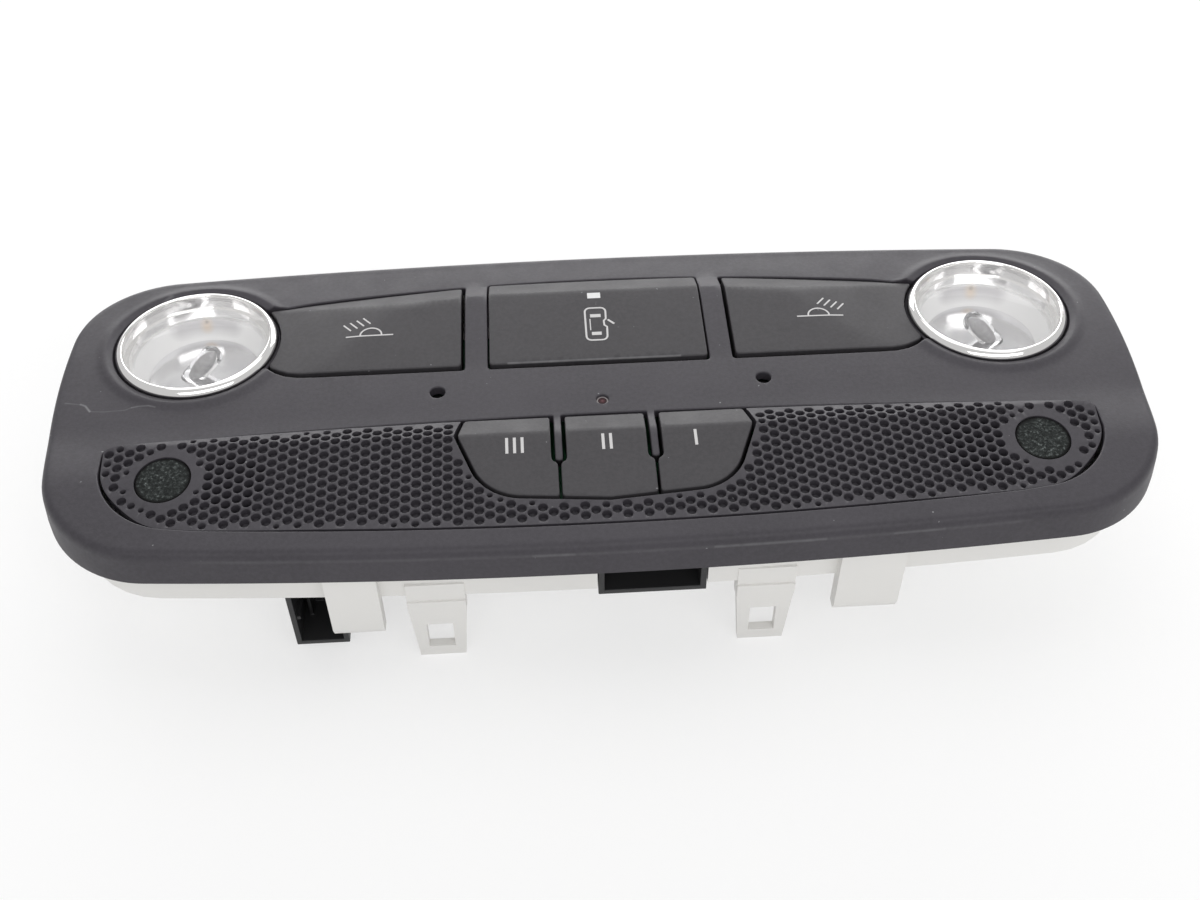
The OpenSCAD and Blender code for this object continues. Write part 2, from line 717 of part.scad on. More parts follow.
module bulb(side) color([0.95, 0.95, 0.95, 0.6]) on_face() at_lamp(side) at_bulb(side) {
    translate([0, 0, -3]) cylinder(h = bulb_l + 3 - bulb_r, r = bulb_r);
    translate([0, 0, bulb_l - bulb_r]) sphere(bulb_r);
    translate([-bulb_r, -0.8, -bulb_base]) cube([2 * bulb_r, 1.6, bulb_base - 3]);
}

bulb_base = 8;
holder_r = 5;
holder_top = -4.4;
holder_l = 9;
module bulb_holder(side) color(housing_colour) on_face() at_lamp(side) at_bulb(side) difference() {
    union() {
        translate([0, 0, holder_top - holder_l]) cylinder(h = holder_l, r = holder_r);
        translate([0, 0, holder_top - holder_l]) cylinder(h = 1.6, r = holder_r + 1.4);
    }
    translate([-bulb_r - 0.05, -0.85, -bulb_base - 0.05]) cube([2 * bulb_r + 0.1, 1.7, bulb_base]);
}

// two flat brass strips from the board's edge to the bulb holder
strip_w = 2.4;
board_hl = lamp_x - ring_r - 5.75;
module contact_strips(side) color([0.8, 0.65, 0.3]) on_face() for (y = [lamp_y - 3.2, lamp_y + 3.2])
    translate([side > 0 ? board_hl - 4 : -strip_end, y - strip_w / 2, board_top + eps])
        cube([strip_end - board_hl + 4, strip_w, 0.5]);
strip_end = lamp_x + 1.85;

// Microphones

felt_t = 1.2;
function mic_top() = grille_h([mic_x, -mic_y]) - 0.2;
mic_slope_x = end_fade_drop / (grille_hl - end_fade_from);
module at_mic(side) translate([side * mic_x, -mic_y, 0]) children();
module mic_felt(side) color([0.1, 0.12, 0.11]) on_face() intersection() {
    at_mic(side) translate([0, 0, mic_top() - felt_t]) cylinder(h = 3, r = felt_r);
    under_plane([side * mic_x, -mic_y, mic_top()], -side * mic_slope_x, grille_slope);
}
mic_body_t = 4;
module microphone(side) color("silver") on_face() at_mic(side)
    translate([0, 0, mic_top() - felt_t - mic_body_t]) cylinder(h = mic_body_t, r = felt_r - 1);
module mic_boot(side) color(black) on_face() at_mic(side) difference() {
    translate([0, 0, board_top]) cylinder(h = -grille_t - board_top, r = felt_r + 0.6);
    translate([0, 0, mic_top() - felt_t - mic_body_t]) cylinder(h = far, r = felt_r - 1);
    translate([0, 0, board_top - 1]) cylinder(h = 6, r = felt_r - 2);
}

// Face lights

module light_pipe(p, r, drop, colour) color(colour) on_face() translate([p.x, p.y, 0]) {
    translate([0, 0, board_top + 2]) cylinder(h = -board_top - 2 + face_h(p.y) - drop, r = r - 0.05);
    translate([-1.6, -1.4, board_top]) cube([3.2, 2.8, 2]);
}
module indicator_light() light_pipe([0, 0], indicator_r, 0.6, [0.3, 0.08, 0.08]);
module foot_light(s) light_pipe([s * foot_light_x, foot_light_y], foot_light_r, 2.6, [0.2, 0.2, 0.2]);
module foot_light_right() foot_light(1);
module foot_light_left() foot_light(-1);

// Circuit board and switches

board_front = front_edge + 16;
board_back = back_edge - 17.5;
arm_front = front_edge + 14.5;
arm_back = -mic_y + 8.5;
arm_hl = mic_x + 9;
board_posts = [[board_hl - 6, board_back - 4], [board_hl - 6, -6]];
board_screw_r = 0.8;
module board_outline() {
    translate([-board_hl, board_front]) square([2 * board_hl, board_back - board_front]);
    translate([-arm_hl, arm_front]) square([2 * arm_hl, arm_back - arm_front]);
}
module circuit_board() color([0.1, 0.35, 0.2]) on_face() translate([0, 0, board_top - board_t])
    linear_extrude(board_t) difference() {
        board_outline();
        for (s = [-1, 1]) for (p = board_posts) translate([s * p.x, p.y]) circle(board_screw_r + 0.5, $fn = 24);
        translate([main_x - main_w / 2 - 0.3, arm_front - 1]) square([main_w + 0.6, main_back - arm_front + 1]);
    }

module switch_at(x, y) color(black) on_face() translate([x, y, board_top]) difference() {
    translate([-switch_side / 2, -switch_side / 2, 0]) cube([switch_side, switch_side, switch_h]);
    translate([0, 0, switch_h - 1.6]) cylinder(h = 2, r = plunger_r + 0.08);
}
module plunger_at(x, y) color([0.7, 0.7, 0.7]) on_face()
    translate([x, y, plunger_top - plunger_h - 0.5]) cylinder(h = plunger_h + 0.5, r = plunger_r);

module switch_reading_right() switch_at(side_foot_x, large_switch_y);
module switch_reading_left() switch_at(-side_foot_x, large_switch_y);
module switch_door_light() switch_at(0, large_switch_y);
module switch_preset_3() switch_at(small_key_x[0], small_switch_y);
module switch_preset_2() switch_at(small_key_x[1], small_switch_y);
module switch_preset_1() switch_at(small_key_x[2], small_switch_y);
module plunger_reading_right() plunger_at(side_foot_x, large_switch_y);
module plunger_reading_left() plunger_at(-side_foot_x, large_switch_y);
module plunger_door_light() plunger_at(0, large_switch_y);
module plunger_preset_3() plunger_at(small_key_x[0], small_switch_y);
module plunger_preset_2() plunger_at(small_key_x[1], small_switch_y);
module plunger_preset_1() plunger_at(small_key_x[2], small_switch_y);

// Connectors

main_x = 8.2;
main_w = 22.6;
main_h = 10.4;
main_top = -11.6;
main_back = front_edge + housing_inset + 11;
main_pitch = 3;
terminal = 0.7;
terminal_l = 4;
module shell_box(size, wall) difference() {
    cube(size);
    translate([wall, -1, wall]) cube([size.x - 2 * wall, size.y - wall + 1, size.z - 2 * wall]);
}
module main_connector() color(black) on_face() {
    translate([main_x - main_w / 2, front_edge + housing_inset + 0.3, main_top - main_h])
        shell_box([main_w, main_back - front_edge - housing_inset - 0.6, main_h], 1.3);
    for (i = [-2.5:2.5]) translate([main_x + i * main_pitch - terminal / 2,
        main_back - terminal_l - 1, main_top - main_h / 2 - terminal / 2]) cube([terminal, terminal_l, terminal]);
}

side_x = -62.7;
side_w = 11.4;
side_h = 18;
side_depth = 12;
side_front = front_edge + housing_inset + 2.6;
module side_connector() color(black) on_face() {
    translate([side_x - side_w / 2, side_front, -housing_depth - side_h])
        shell_box([side_w, side_depth, side_h], 1.2);
    for (i = [-1, 1]) translate([side_x + i * 2.9 - 0.4, side_front + side_depth - 5, -housing_depth - side_h + 1.2])
        cube([0.8, 4, side_h - 2.4]);
    translate([side_x - side_w / 2 + 1, side_front + 0.8, -housing_depth - side_h / 2 - 1]) cube([1, 6, 1]);
}

// Rear housing

clip_x = [-36.9, 32.1];
rear_clip_x = [-34.5, 34.5];
tab_x = [-53.7, 53.7];
tab_w = [10.8, 13.6];
tab_depth = 29.8;
tab_top = 9.4;
tab_proud = 1.4;
module housing_outline(d = 0) polygon(whole_outline(housing_inset + d));

// plate with a catch window and a shoulder band, hanging from the housing's wall
clip_taper = 1.2;
clip_shoulder = clip_depth - housing_depth - 4.6;
module window_clip(x, y, out) translate([x - clip_w / 2, out > 0 ? y - clip_t : y, -clip_depth]) difference() {
    union() {
        translate([0, clip_t, 0]) rotate([90, 0, 0]) linear_extrude(clip_t) polygon([[clip_taper, 0],
            [clip_w - clip_taper, 0], [clip_w, clip_shoulder], [clip_w, clip_depth - housing_depth + 4],
            [0, clip_depth - housing_depth + 4], [0, clip_shoulder]]);
        translate([0, out > 0 ? -1.4 : clip_t, clip_depth - housing_depth - 6])
            cube([clip_w, 1.4, 6]);
        translate([0, out > 0 ? clip_t - eps : eps - 0.5, clip_shoulder]) cube([clip_w, 0.5, 3.4]);
    }
    translate([(clip_w - window_w) / 2, -1, clip_bar]) cube([window_w, clip_t + 2, window_h]);
}
clip_t = 2;
clip_y = front_edge + housing_inset;
rear_clip_y = back_edge - housing_inset - 0.35;

module corner_tab(x, w) {
    translate([x - w / 2, clip_y - tab_proud, 0]) rotate([90, 0, 90]) linear_extrude(w) polygon([[0, -tab_top],
        [0, -tab_depth + 2.2], [0.9, -tab_depth], [tab_proud + clip_t, -tab_depth], [tab_proud + clip_t, -tab_top]]);
}

module rear_housing() color(housing_colour) {
    wall_top = -4.6;
    on_face() difference() {
        union() {
            translate([0, -face_y, -housing_depth]) linear_extrude(housing_wall) housing_outline();
            intersection() {
                translate([0, -face_y, -housing_depth]) linear_extrude(housing_depth + wall_top) difference() {
                    housing_outline();
                    housing_outline(housing_wall);
                }
                under_plane([0, front_edge, wall_top - 1.6], 0, 0);
            }
            for (s = [-1, 1]) for (p = board_posts) translate([s * p.x, p.y, -housing_depth + 1])
                cylinder(h = housing_depth - 1 - board_depth - board_t, r = 2.4);
            for (x = clip_x) window_clip(x, clip_y, -1);
            for (x = rear_clip_x) window_clip(x, rear_clip_y, 1);
            for (i = [0, 1]) corner_tab(tab_x[i], tab_w[i]);
        }
        translate([main_x - main_w / 2 - 0.2, front_edge, main_top - main_h - 0.2])
            cube([main_w + 0.4, housing_inset + 11.4, far]);
        for (s = [-1, 1]) {
            at_lamp(s) {
                at_bulb(s) translate([0, 0, -far]) cylinder(h = far, r = holder_r + 1.6);
                translate([0, 0, -tube_depth - 0.3]) cylinder(h = far, r = tube_r + tube_wall + 0.3);
            }
            for (p = housing_posts) translate([s * p.x, p.y, -housing_depth - 1])
                cylinder(h = housing_wall + 2, r = pilot_r + 0.35, $fn = 24);
            for (p = board_posts) translate([s * p.x, p.y, -housing_depth + housing_wall])
                cylinder(h = far, r = board_screw_r, $fn = 24);
        }
    }
}

// Screws

housing_screw_l = 9;
board_screw_head_r = 2;
board_screw_l = 3.8;
module pan_screw(head_r, shank_r, l) {
    translate([0, 0, -1.4]) difference() {
        cylinder(h = 1.4, r1 = head_r * 0.8, r2 = head_r);
        translate([0, 0, -1]) for (a = [0, 90]) rotate(a)
            cube([head_r, 0.6, 3.2], center = true);
    }
    cylinder(h = l, r = shank_r);
}
module housing_screws() color([0.5, 0.5, 0.52]) on_face()
    for (s = [-1, 1]) for (p = housing_posts) translate([s * p.x, p.y, -housing_depth])
        pan_screw(post_r - 0.2, pilot_r, housing_screw_l);
module board_screws() color([0.5, 0.5, 0.52]) on_face()
    for (s = [-1, 1]) for (p = board_posts) translate([s * p.x, p.y, board_top])
        mirror([0, 0, 1]) pan_screw(board_screw_head_r, board_screw_r, board_screw_l);

bezel();
grille();
rear_housing();
circuit_board();
main_connector();
side_connector();
lens_ring(-1);  // lens_ring_left
lens_ring(1);  // lens_ring_right
lens(-1);  // lens_left
lens(1);  // lens_right
reflector(-1);  // reflector_left
reflector(1);  // reflector_right
bulb(-1);  // bulb_left
bulb(1);  // bulb_right
bulb_holder(-1);  // bulb_holder_left
bulb_holder(1);  // bulb_holder_right
contact_strips(-1);  // contact_strips_left
contact_strips(1);  // contact_strips_right
microphone(-1);  // microphone_left
microphone(1);  // microphone_right
mic_boot(-1);  // mic_boot_left
mic_boot(1);  // mic_boot_right
mic_felt(-1);  // mic_felt_left
mic_felt(1);  // mic_felt_right
indicator_light();
foot_light_left();
foot_light_right();
reading_key_left();
reading_key_right();
door_light_key();
door_light_window();
preset_key_1();
preset_key_2();
preset_key_3();
switch_reading_left();
switch_reading_right();
switch_door_light();
switch_preset_1();
switch_preset_2();
switch_preset_3();
plunger_reading_left();
plunger_reading_right();
plunger_door_light();
plunger_preset_1();
plunger_preset_2();
plunger_preset_3();
housing_screws();
board_screws();
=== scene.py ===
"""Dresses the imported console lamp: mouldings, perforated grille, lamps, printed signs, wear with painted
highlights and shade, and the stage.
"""

import json
import math

import bmesh
import bpy
import numpy as np
from bpy.props import FloatProperty, FloatVectorProperty, IntProperty
from mathutils import Matrix, Vector
from mathutils.geometry import delaunay_2d_cdt


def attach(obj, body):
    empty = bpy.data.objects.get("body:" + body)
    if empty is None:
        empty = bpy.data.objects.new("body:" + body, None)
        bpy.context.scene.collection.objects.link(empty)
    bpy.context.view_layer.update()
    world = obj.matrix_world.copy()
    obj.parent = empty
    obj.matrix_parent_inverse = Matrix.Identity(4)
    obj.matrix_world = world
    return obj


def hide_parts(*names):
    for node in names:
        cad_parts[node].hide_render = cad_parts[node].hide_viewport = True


bl_info = {
    "name": "Overhead console lamp",
    "version": (1, 0, 0),
    "blender": (4, 2, 0),
    "location": "3D View > Sidebar > Console",
    "description": "Builds the looks of an overhead console lamp around its CAD parts",
    "category": "Object",
}

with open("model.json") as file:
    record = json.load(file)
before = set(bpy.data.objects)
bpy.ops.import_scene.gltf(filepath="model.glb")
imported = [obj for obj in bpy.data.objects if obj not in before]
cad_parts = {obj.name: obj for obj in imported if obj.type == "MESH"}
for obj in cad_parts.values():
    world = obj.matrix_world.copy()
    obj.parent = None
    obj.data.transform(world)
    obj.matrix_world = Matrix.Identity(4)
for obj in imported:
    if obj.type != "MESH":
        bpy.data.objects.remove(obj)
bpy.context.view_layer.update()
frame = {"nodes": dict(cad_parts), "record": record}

# The face frame, in millimetres: its origin is the indicator light on the strip between the keys.
FACE_Y, FACE_Z = -5.75, 40.0
HALF_L, HALF_W = 120.0, 46.75
CORNER_R, LONG_BULGE, SHORT_BULGE = 24.0, 3.3, 1.0
FRONT_TAPER, TAPER_FROM, TAPER_POWER = 3.7, 36.0, 1.25
CROWN_R, FRONT_RISE, BLEND_FROM, BLEND_L = 374.0, 1.8, -2.0, 18.0
RIM_DROP = 8.0
LAMP = np.array([89.75, 24.3])
COLLAR_R, RING_R, RING_W, KEY_ARC_R = 18.4, 18.0, 1.8, 18.65
BEAD_H, BEAD_FROM, BEAD_TO = 0.5, 18.5, 22.4
BEAD_RINGS = (19.1, 19.5, 19.8, 20.1, 20.5, 21.0, 21.7, 22.5)
OPENING_FRONT, LARGE_FRONT, LARGE_CREST, LARGE_BACK, LARGE_SWEEP_R = 11.0, 12.1, 34.6, 41.4, 455.0
LARGE_CREST_H, LARGE_FRONT_H = 0.82, 0.1
SIDE_PEAK_X, SIDE_SWEEP_TO, SIDE_FALL_X, SIDE_FALL_Y = 42, 67, -2.07 / 25, -1.05 / 22.5
DIVIDER_IN, DIVIDER_OUT, MIDDLE_KEY_HW, SIDE_KEY_IN = 24.5, 29.6, 24.15, 30.4
SMALL_HW, SMALL_FRONT, SPLIT_X, FINGER_REACH = 30.9, 28.3, 10.0, 19.1
SMALL_CORNER, SMALL_CORNER_R, SMALL_SWEEP = np.array([17.2, -15.9]), 11.0, 0.0795
SMALL_GAP, SMALL_REAR, SPLIT_GAP, NOTCH_R = 0.85, -4.8, 0.3, 1.6
FINGER_END, FINGER_R = -17.5, 0.8
GRILLE_BACK, GRILLE_FRONT, GRILLE_CREST, GRILLE_CREST_H = 4.5, 34.4, 10.7, 2.14
GRILLE_HL, GRILLE_CORNER_R = 104.2, 17.4
GRILLE_CORNER = np.array([GRILLE_HL - GRILLE_CORNER_R, -13.2])
GRILLE_END, GRILLE_END_R = np.array([102.2, -10.5]), 2.0
GRILLE_FRONT_SWEEP_R, GRILLE_BACK_SWEEP_R, GRILLE_GAP = 1103.0, 1396.0, 0.35
GRILLE_CORNER_GAP, GRILLE_GAP_SHARE, GRILLE_EDGE, GRILLE_FOOT = 0.85, 2.43, 0.1, -2.4
END_FADE_FROM, END_FADE_DROP = 58.0, 1.1
DIMPLE_WEB, DIMPLE_TAPER = 0.17, 0.86
MIC = np.array([91.0, -18.0])
FELT_R, FELT_RIM = 5.8, 1.5
OPEN_HOLES, OPEN_HOLES_R = np.array([76.8, -19.4]), 7.3
FOOT_LIGHT, FOOT_LIGHT_R, INDICATOR_R = np.array([35.45, 4.4]), 1.65, 1.3
SIDES = ((-1, "left"), (1, "right"))


# Heights of the face

def crown(y):
    return -y * y / (2 * CROWN_R)


def face_h(y):
    t = np.clip((BLEND_FROM - y) / BLEND_L, 0, 1)
    return crown(y) + FRONT_RISE * t * t * (3 - 2 * t)


def soft_min(heights, softness=0.22):
    """Lowest of several planes, with the creases between them rounded."""
    low = np.minimum.reduce(heights)
    return low - softness * np.log(sum(np.exp(-(h - low) / softness) for h in heights)) * 0.5


def plane(p, slope_x, slope_y):
    return lambda x, y: p[2] + slope_x * (x - p[0]) + slope_y * (y - p[1])


LARGE_SLOPE = (LARGE_CREST_H - LARGE_FRONT_H) / (LARGE_CREST - LARGE_FRONT)
LARGE_BEVEL = (LARGE_CREST_H - crown(LARGE_BACK)) / (LARGE_BACK - LARGE_CREST)
GRILLE_SLOPE = (GRILLE_CREST_H - float(face_h(-GRILLE_FRONT))) / (GRILLE_FRONT - GRILLE_CREST)
GRILLE_BEVEL = (GRILLE_CREST_H - crown(-GRILLE_BACK)) / (GRILLE_CREST - GRILLE_BACK)
END_SLOPE = END_FADE_DROP / (GRILLE_HL - END_FADE_FROM)


def sweep_y(x):
    return LARGE_BACK - x * x / (2 * LARGE_SWEEP_R)


def large_h(x, y):
    return soft_min([LARGE_CREST_H + (y - LARGE_CREST) * LARGE_SLOPE,
                     LARGE_CREST_H - (y - LARGE_CREST) * LARGE_BEVEL])


def side_h(x, y):
    x = np.abs(x)
    corner = sweep_y(SIDE_KEY_IN)
    chord = (sweep_y(SIDE_SWEEP_TO) - corner) / (SIDE_SWEEP_TO - SIDE_KEY_IN)
    peak = (SIDE_PEAK_X, LARGE_CREST, LARGE_CREST_H)
    top = plane(peak, 0, LARGE_SLOPE)
    fade = plane(peak, SIDE_FALL_X, SIDE_FALL_Y)
    rear = plane((SIDE_KEY_IN, corner, crown(corner)), chord * LARGE_BEVEL, -LARGE_BEVEL)
    return soft_min([top(x, y), fade(x, y), rear(x, y)])


def grille_h(x, y):
    rise = GRILLE_CREST_H + GRILLE_SLOPE * (y + GRILLE_CREST)
    return np.minimum.reduce([rise, GRILLE_CREST_H - GRILLE_BEVEL * (y + GRILLE_CREST),
                              rise - END_SLOPE * (np.abs(x) - END_FADE_FROM)])


def small_key_h(x, y):
    return soft_min([GRILLE_CREST_H + GRILLE_SLOPE * (y + GRILLE_CREST),
                     GRILLE_CREST_H - GRILLE_BEVEL * (y + GRILLE_CREST)], 0.15)


def smooth(t):
    t = np.clip(t, 0, 1)
    return t * t * (3 - 2 * t)


def bezel_h(x, y):
    """Height of the bezel's face, with the collars round the lamps, the dividers and the fingers."""
    x, y = np.abs(np.asarray(x, float)), np.asarray(y, float)
    h = face_h(y)
    r = np.hypot(x - LAMP[0], y - LAMP[1])
    h = h + BEAD_H * smooth((r - BEAD_FROM) / 1.5) * smooth((BEAD_TO - r) / 2.4)
    on_divider = (x > DIVIDER_IN - 0.6) & (x < DIVIDER_OUT + 0.6) & (y > LARGE_FRONT)
    h = np.where(on_divider, np.maximum(face_h(y), large_h(x, y) - 0.3), h)
    on_finger = (np.abs(x - SPLIT_X) < 1.4) & (y < -GRILLE_BACK) & (y > -FINGER_REACH - 1)
    return np.where(on_finger, np.maximum(face_h(y), small_key_h(x, y) - 0.25), h)


# Outlines, counter-clockwise, as arrays of points

def arc(centre, r, start, end, steps):
    a = np.radians(np.linspace(start, end, steps))
    return np.stack([centre[0] + r * np.cos(a), centre[1] + r * np.sin(a)], 1)


def circle(centre, r, steps):
    return arc(centre, r, 0, 360 - 360 / steps, steps)


def on_both_sides(p):
    """A point's places on the left and on the right."""
    return [(-p[0], p[1]), (p[0], p[1])]


def line(p, q, steps):
    t = np.linspace(0, 1, steps)[:, None]
    return np.array(p) * (1 - t) + np.array(q) * t


def joined(*parts):
    points = np.concatenate([np.atleast_2d(p) for p in parts])
    keep = [0]
    for i in range(1, len(points)):
        if np.linalg.norm(points[i] - points[keep[-1]]) > 0.02:
            keep.append(i)
    if np.linalg.norm(points[keep[-1]] - points[0]) < 0.02:
        keep.pop()
    return points[keep]


def mirrored(loop):
    return (loop * [-1, 1])[::-1]


def both_halves(half):
    """A loop from its right half, given from the front middle round to the rear middle."""
    inner = [p for p in half if p[0] > 0.02]
    return joined(half, mirrored(np.array(inner)))


def offset(loop, d):
    """The loop moved to its left by d, with mitred corners."""
    ahead, behind = np.roll(loop, -1, 0) - loop, loop - np.roll(loop, 1, 0)
    n1 = np.stack([-behind[:, 1], behind[:, 0]], 1) / np.linalg.norm(behind, axis=1)[:, None]
    n2 = np.stack([-ahead[:, 1], ahead[:, 0]], 1) / np.linalg.norm(ahead, axis=1)[:, None]
    return loop + d * (n1 + n2) / np.maximum(0.35, 1 + (n1 * n2).sum(1))[:, None]


def bends(loop):
    """How far the loop turns at each of its points, in degrees."""
    a, b = np.roll(loop, 1, 0) - loop, np.roll(loop, -1, 0) - loop
    cosine = (a * b).sum(1) / np.linalg.norm(a, axis=1) / np.linalg.norm(b, axis=1)
    return 180 - np.degrees(np.arccos(np.clip(cosine, -1, 1)))


def rounded(loop, r, only=30, steps=4):
    """The loop with its sharp corners rounded, and the points that are too close to them taken out."""
    n = len(loop)
    sharp = set(np.nonzero(bends(loop) > only)[0].tolist())
    dropped = set()
    for i in sharp:
        for step in (-1, 1):
            j = (i + step) % n
            while j not in sharp and np.linalg.norm(loop[j] - loop[i]) < 1.1 * r:
                dropped.add(j)
                j = (j + step) % n
    kept = [i for i in range(n) if i not in dropped]
    loop = loop[kept]
    n = len(loop)
    out = []
    for k, i in enumerate(kept):
        p, a, b = loop[k], loop[k - 1] - loop[k], loop[(k + 1) % n] - loop[k]
        la, lb = np.linalg.norm(a), np.linalg.norm(b)
        if i not in sharp:
            out.append(p)
            continue
        near = [0.45 if kept[j % n] in sharp else 0.9 for j in (k - 1, k + 1)]
        cut = min(r, near[0] * la, near[1] * lb)
        start, end = p + a / la * cut, p + b / lb * cut
        for k in range(steps + 1):
            t = k / steps
            out.append((1 - t) ** 2 * start + 2 * t * (1 - t) * p + t * t * end)
    return joined(np.array(out))


def console_outline(inset):
    long_a = math.atan(2 * LONG_BULGE / (HALF_L - CORNER_R))
    short_a = math.atan(2 * SHORT_BULGE / (HALF_W - CORNER_R))
    cx = HALF_L - SHORT_BULGE - CORNER_R * math.cos(short_a)
    cy = HALF_W - LONG_BULGE - CORNER_R * math.cos(long_a)
    r = CORNER_R - inset
    lx, ly = cx + r * math.sin(long_a), cy + r * math.sin(short_a)
    t = np.linspace(0, 1, 48)
    e = np.linspace(-1, 1, 28)
    la, sa = math.degrees(long_a), math.degrees(short_a)
    half = np.concatenate([
        np.stack([t * lx, -HALF_W + inset + LONG_BULGE * t * t], 1),
        arc((cx, -cy), r, -90 + la, -sa, 22),
        np.stack([HALF_L - inset - SHORT_BULGE * e * e, e * ly], 1),
        arc((cx, cy), r, sa, 90 - la, 22),
        np.stack([t * lx, HALF_W - inset - LONG_BULGE * t * t], 1)[::-1]])
    s = np.maximum(0, (TAPER_FROM - half[:, 1]) / (TAPER_FROM + HALF_W))
    half[:, 0] *= 1 - FRONT_TAPER / HALF_L * s ** TAPER_POWER
    half[:, 1] -= FACE_Y
    return both_halves(half)


def middle_block(half_w, front, rear_gap, side_to):
    """Loop of the middle key or its opening."""
    x = np.linspace(half_w, -half_w, 25)
    return rounded(joined(line((-half_w, front), (half_w, front), 20),
                          line((half_w, front), (half_w, side_to), 12),
                          np.stack([x, sweep_y(x) + rear_gap], 1),
                          line((-half_w, side_to), (-half_w, front), 12)), 0.9)


def middle_opening():
    return middle_block(DIVIDER_IN, OPENING_FRONT, 0.4, 41)


def middle_key():
    return middle_block(MIDDLE_KEY_HW, LARGE_FRONT, 0, 40.5)


# where the side key's front and rear edges run into the lamp
FRONT_CORNER = [(62, 0.0), (66.2, 0.12), (69, 0.75), (71.1, 1.8), (72.7, 2.85)]
REAR_CORNER = [(73.6, 0.35), (72.3, -0.15), (70.4, -0.45), (68.4, -0.3), (66.5, -0.1), (64, 0)]


def side_block(inner, front, shift, by_lamp, rear_corner, rear_gap, side, r):
    """Loop of the right key or its opening, whose outer end follows the arc by the lamp."""
    x = np.linspace(62, inner, 14)
    return rounded(joined(line((inner, front), (57, front), 14),
                          [(px - shift, front + d) for px, d in FRONT_CORNER],
                          by_lamp,
                          [(px, sweep_y(px) + rear_gap + d) for px, d in rear_corner],
                          np.stack([x, sweep_y(x) + rear_gap], 1),
                          line((inner, side[0]), (inner, side[1]), 12)), r, 40)


def side_opening():
    by_lamp = arc(LAMP, COLLAR_R, -149.9, 142.3, 110)
    return side_block(DIVIDER_OUT, OPENING_FRONT, 0, by_lamp, REAR_CORNER, 0.34, (40, 12), 0.9)


def side_key():
    by_lamp = arc(LAMP, KEY_ARC_R, 206.5, 144.4, 30)
    return side_block(SIDE_KEY_IN, LARGE_FRONT, 0.6, by_lamp, REAR_CORNER[1:], 0, (39, LARGE_FRONT), 1.0)


def small_front(x):
    return -SMALL_FRONT + SMALL_SWEEP * x


def small_row_half(gap):
    """Right half of the row of small keys, from its front middle to its rear end."""
    return joined(line((0, -SMALL_FRONT - gap), (17.6, small_front(17.6) - gap), 12),
                  arc(SMALL_CORNER, SMALL_CORNER_R + gap, -84, -21, 16),
                  line((SMALL_HW + gap, -GRILLE_CREST - 0.2), (29.6 + gap, SMALL_REAR), 6))


def outer_small_key():
    half = small_row_half(0)
    half = half[half[:, 0] > SPLIT_X + 0.4]
    edge, wall = SPLIT_X + SPLIT_GAP, SPLIT_X + NOTCH_R
    return rounded(joined((edge, small_front(SPLIT_X)), half,
                          line((29.6, SMALL_REAR), (wall, SMALL_REAR), 10),
                          line((wall, -5), (wall, FINGER_END), 7),
                          arc((SPLIT_X, FINGER_END), NOTCH_R, 0, -78, 8),
                          line((edge, -19.2), (edge, -26), 5)), 0.75, 20)


def middle_small_key():
    edge, wall = SPLIT_X - SPLIT_GAP, SPLIT_X - NOTCH_R
    return rounded(both_halves(joined(line((0, -SMALL_FRONT), (edge, small_front(SPLIT_X)), 6),
                                      line((edge, -27), (edge, -19.2), 5),
                                      arc((SPLIT_X, FINGER_END), NOTCH_R, -102, -180, 8),
                                      line((wall, -17.4), (wall, SMALL_REAR), 7),
                                      line((wall, SMALL_REAR), (0, SMALL_REAR), 6))), 0.75, 20)


def grille_edge(gap=0.0):
    """Right half of the grille's outline, front middle to rear, without the place for the keys."""
    x = np.linspace(0, 83, 40)
    front = np.stack([x, -GRILLE_FRONT - gap + x * x / (2 * GRILLE_FRONT_SWEEP_R)], 1)
    back = np.linspace(100, 0, 44)
    widening = (GRILLE_CORNER_GAP - GRILLE_GAP_SHARE * gap) * np.sin(np.linspace(0, math.pi, 22)) ** 2
    return joined(front, arc(GRILLE_CORNER, GRILLE_CORNER_R + gap - widening, -80, -8, 22),
                  arc(GRILLE_END, GRILLE_END_R + gap, -6, 88, 9),
                  np.stack([back, -GRILLE_BACK + gap - back * back / (2 * GRILLE_BACK_SWEEP_R)], 1))


def grille_loop():
    edge = grille_edge()
    edge = edge[~((edge[:, 0] < 31) & (edge[:, 1] > -8))]
    notch = small_row_half(SMALL_GAP)[::-1]
    right = joined(edge, (30.2, -4.86), notch[1:])
    return rounded(joined(right, mirrored(right[right[:, 0] > 0.02])), 0.6, 50)


def grille_opening():
    half = grille_edge(GRILLE_GAP)
    front, back = half[half[:, 1] < -8], half[half[:, 1] >= -8]
    back = back[np.abs(back[:, 0] - SPLIT_X) > 2.4]
    left, right = SPLIT_X - FINGER_R, SPLIT_X + FINGER_R
    finger = joined(line((right, -4.2), (right, FINGER_END), 14),
                    arc((SPLIT_X, FINGER_END), FINGER_R, 0, -180, 13),
                    line((left, FINGER_END), (left, -4.2), 14))
    beside = back[:, 0] > SPLIT_X
    return rounded(both_halves(joined(front, back[beside], finger, back[~beside])), 0.5, 50)


def inside(points, loop):
    """Which points lie inside the loop, by the even-odd rule."""
    x, y = points[:, 0][:, None], points[:, 1][:, None]
    a, b = loop, np.roll(loop, -1, 0)
    hits = np.zeros(len(points), bool)
    for k in range(0, len(loop), 64):
        x0, y0, x1, y1 = a[k:k + 64, 0], a[k:k + 64, 1], b[k:k + 64, 0], b[k:k + 64, 1]
        rise = np.where(y1 == y0, 1e-12, y1 - y0)
        crosses = ((y0 > y) != (y1 > y)) & (x < (x1 - x0) * (y - y0) / rise + x0)
        hits ^= (crosses.sum(1) % 2).astype(bool)
    return hits


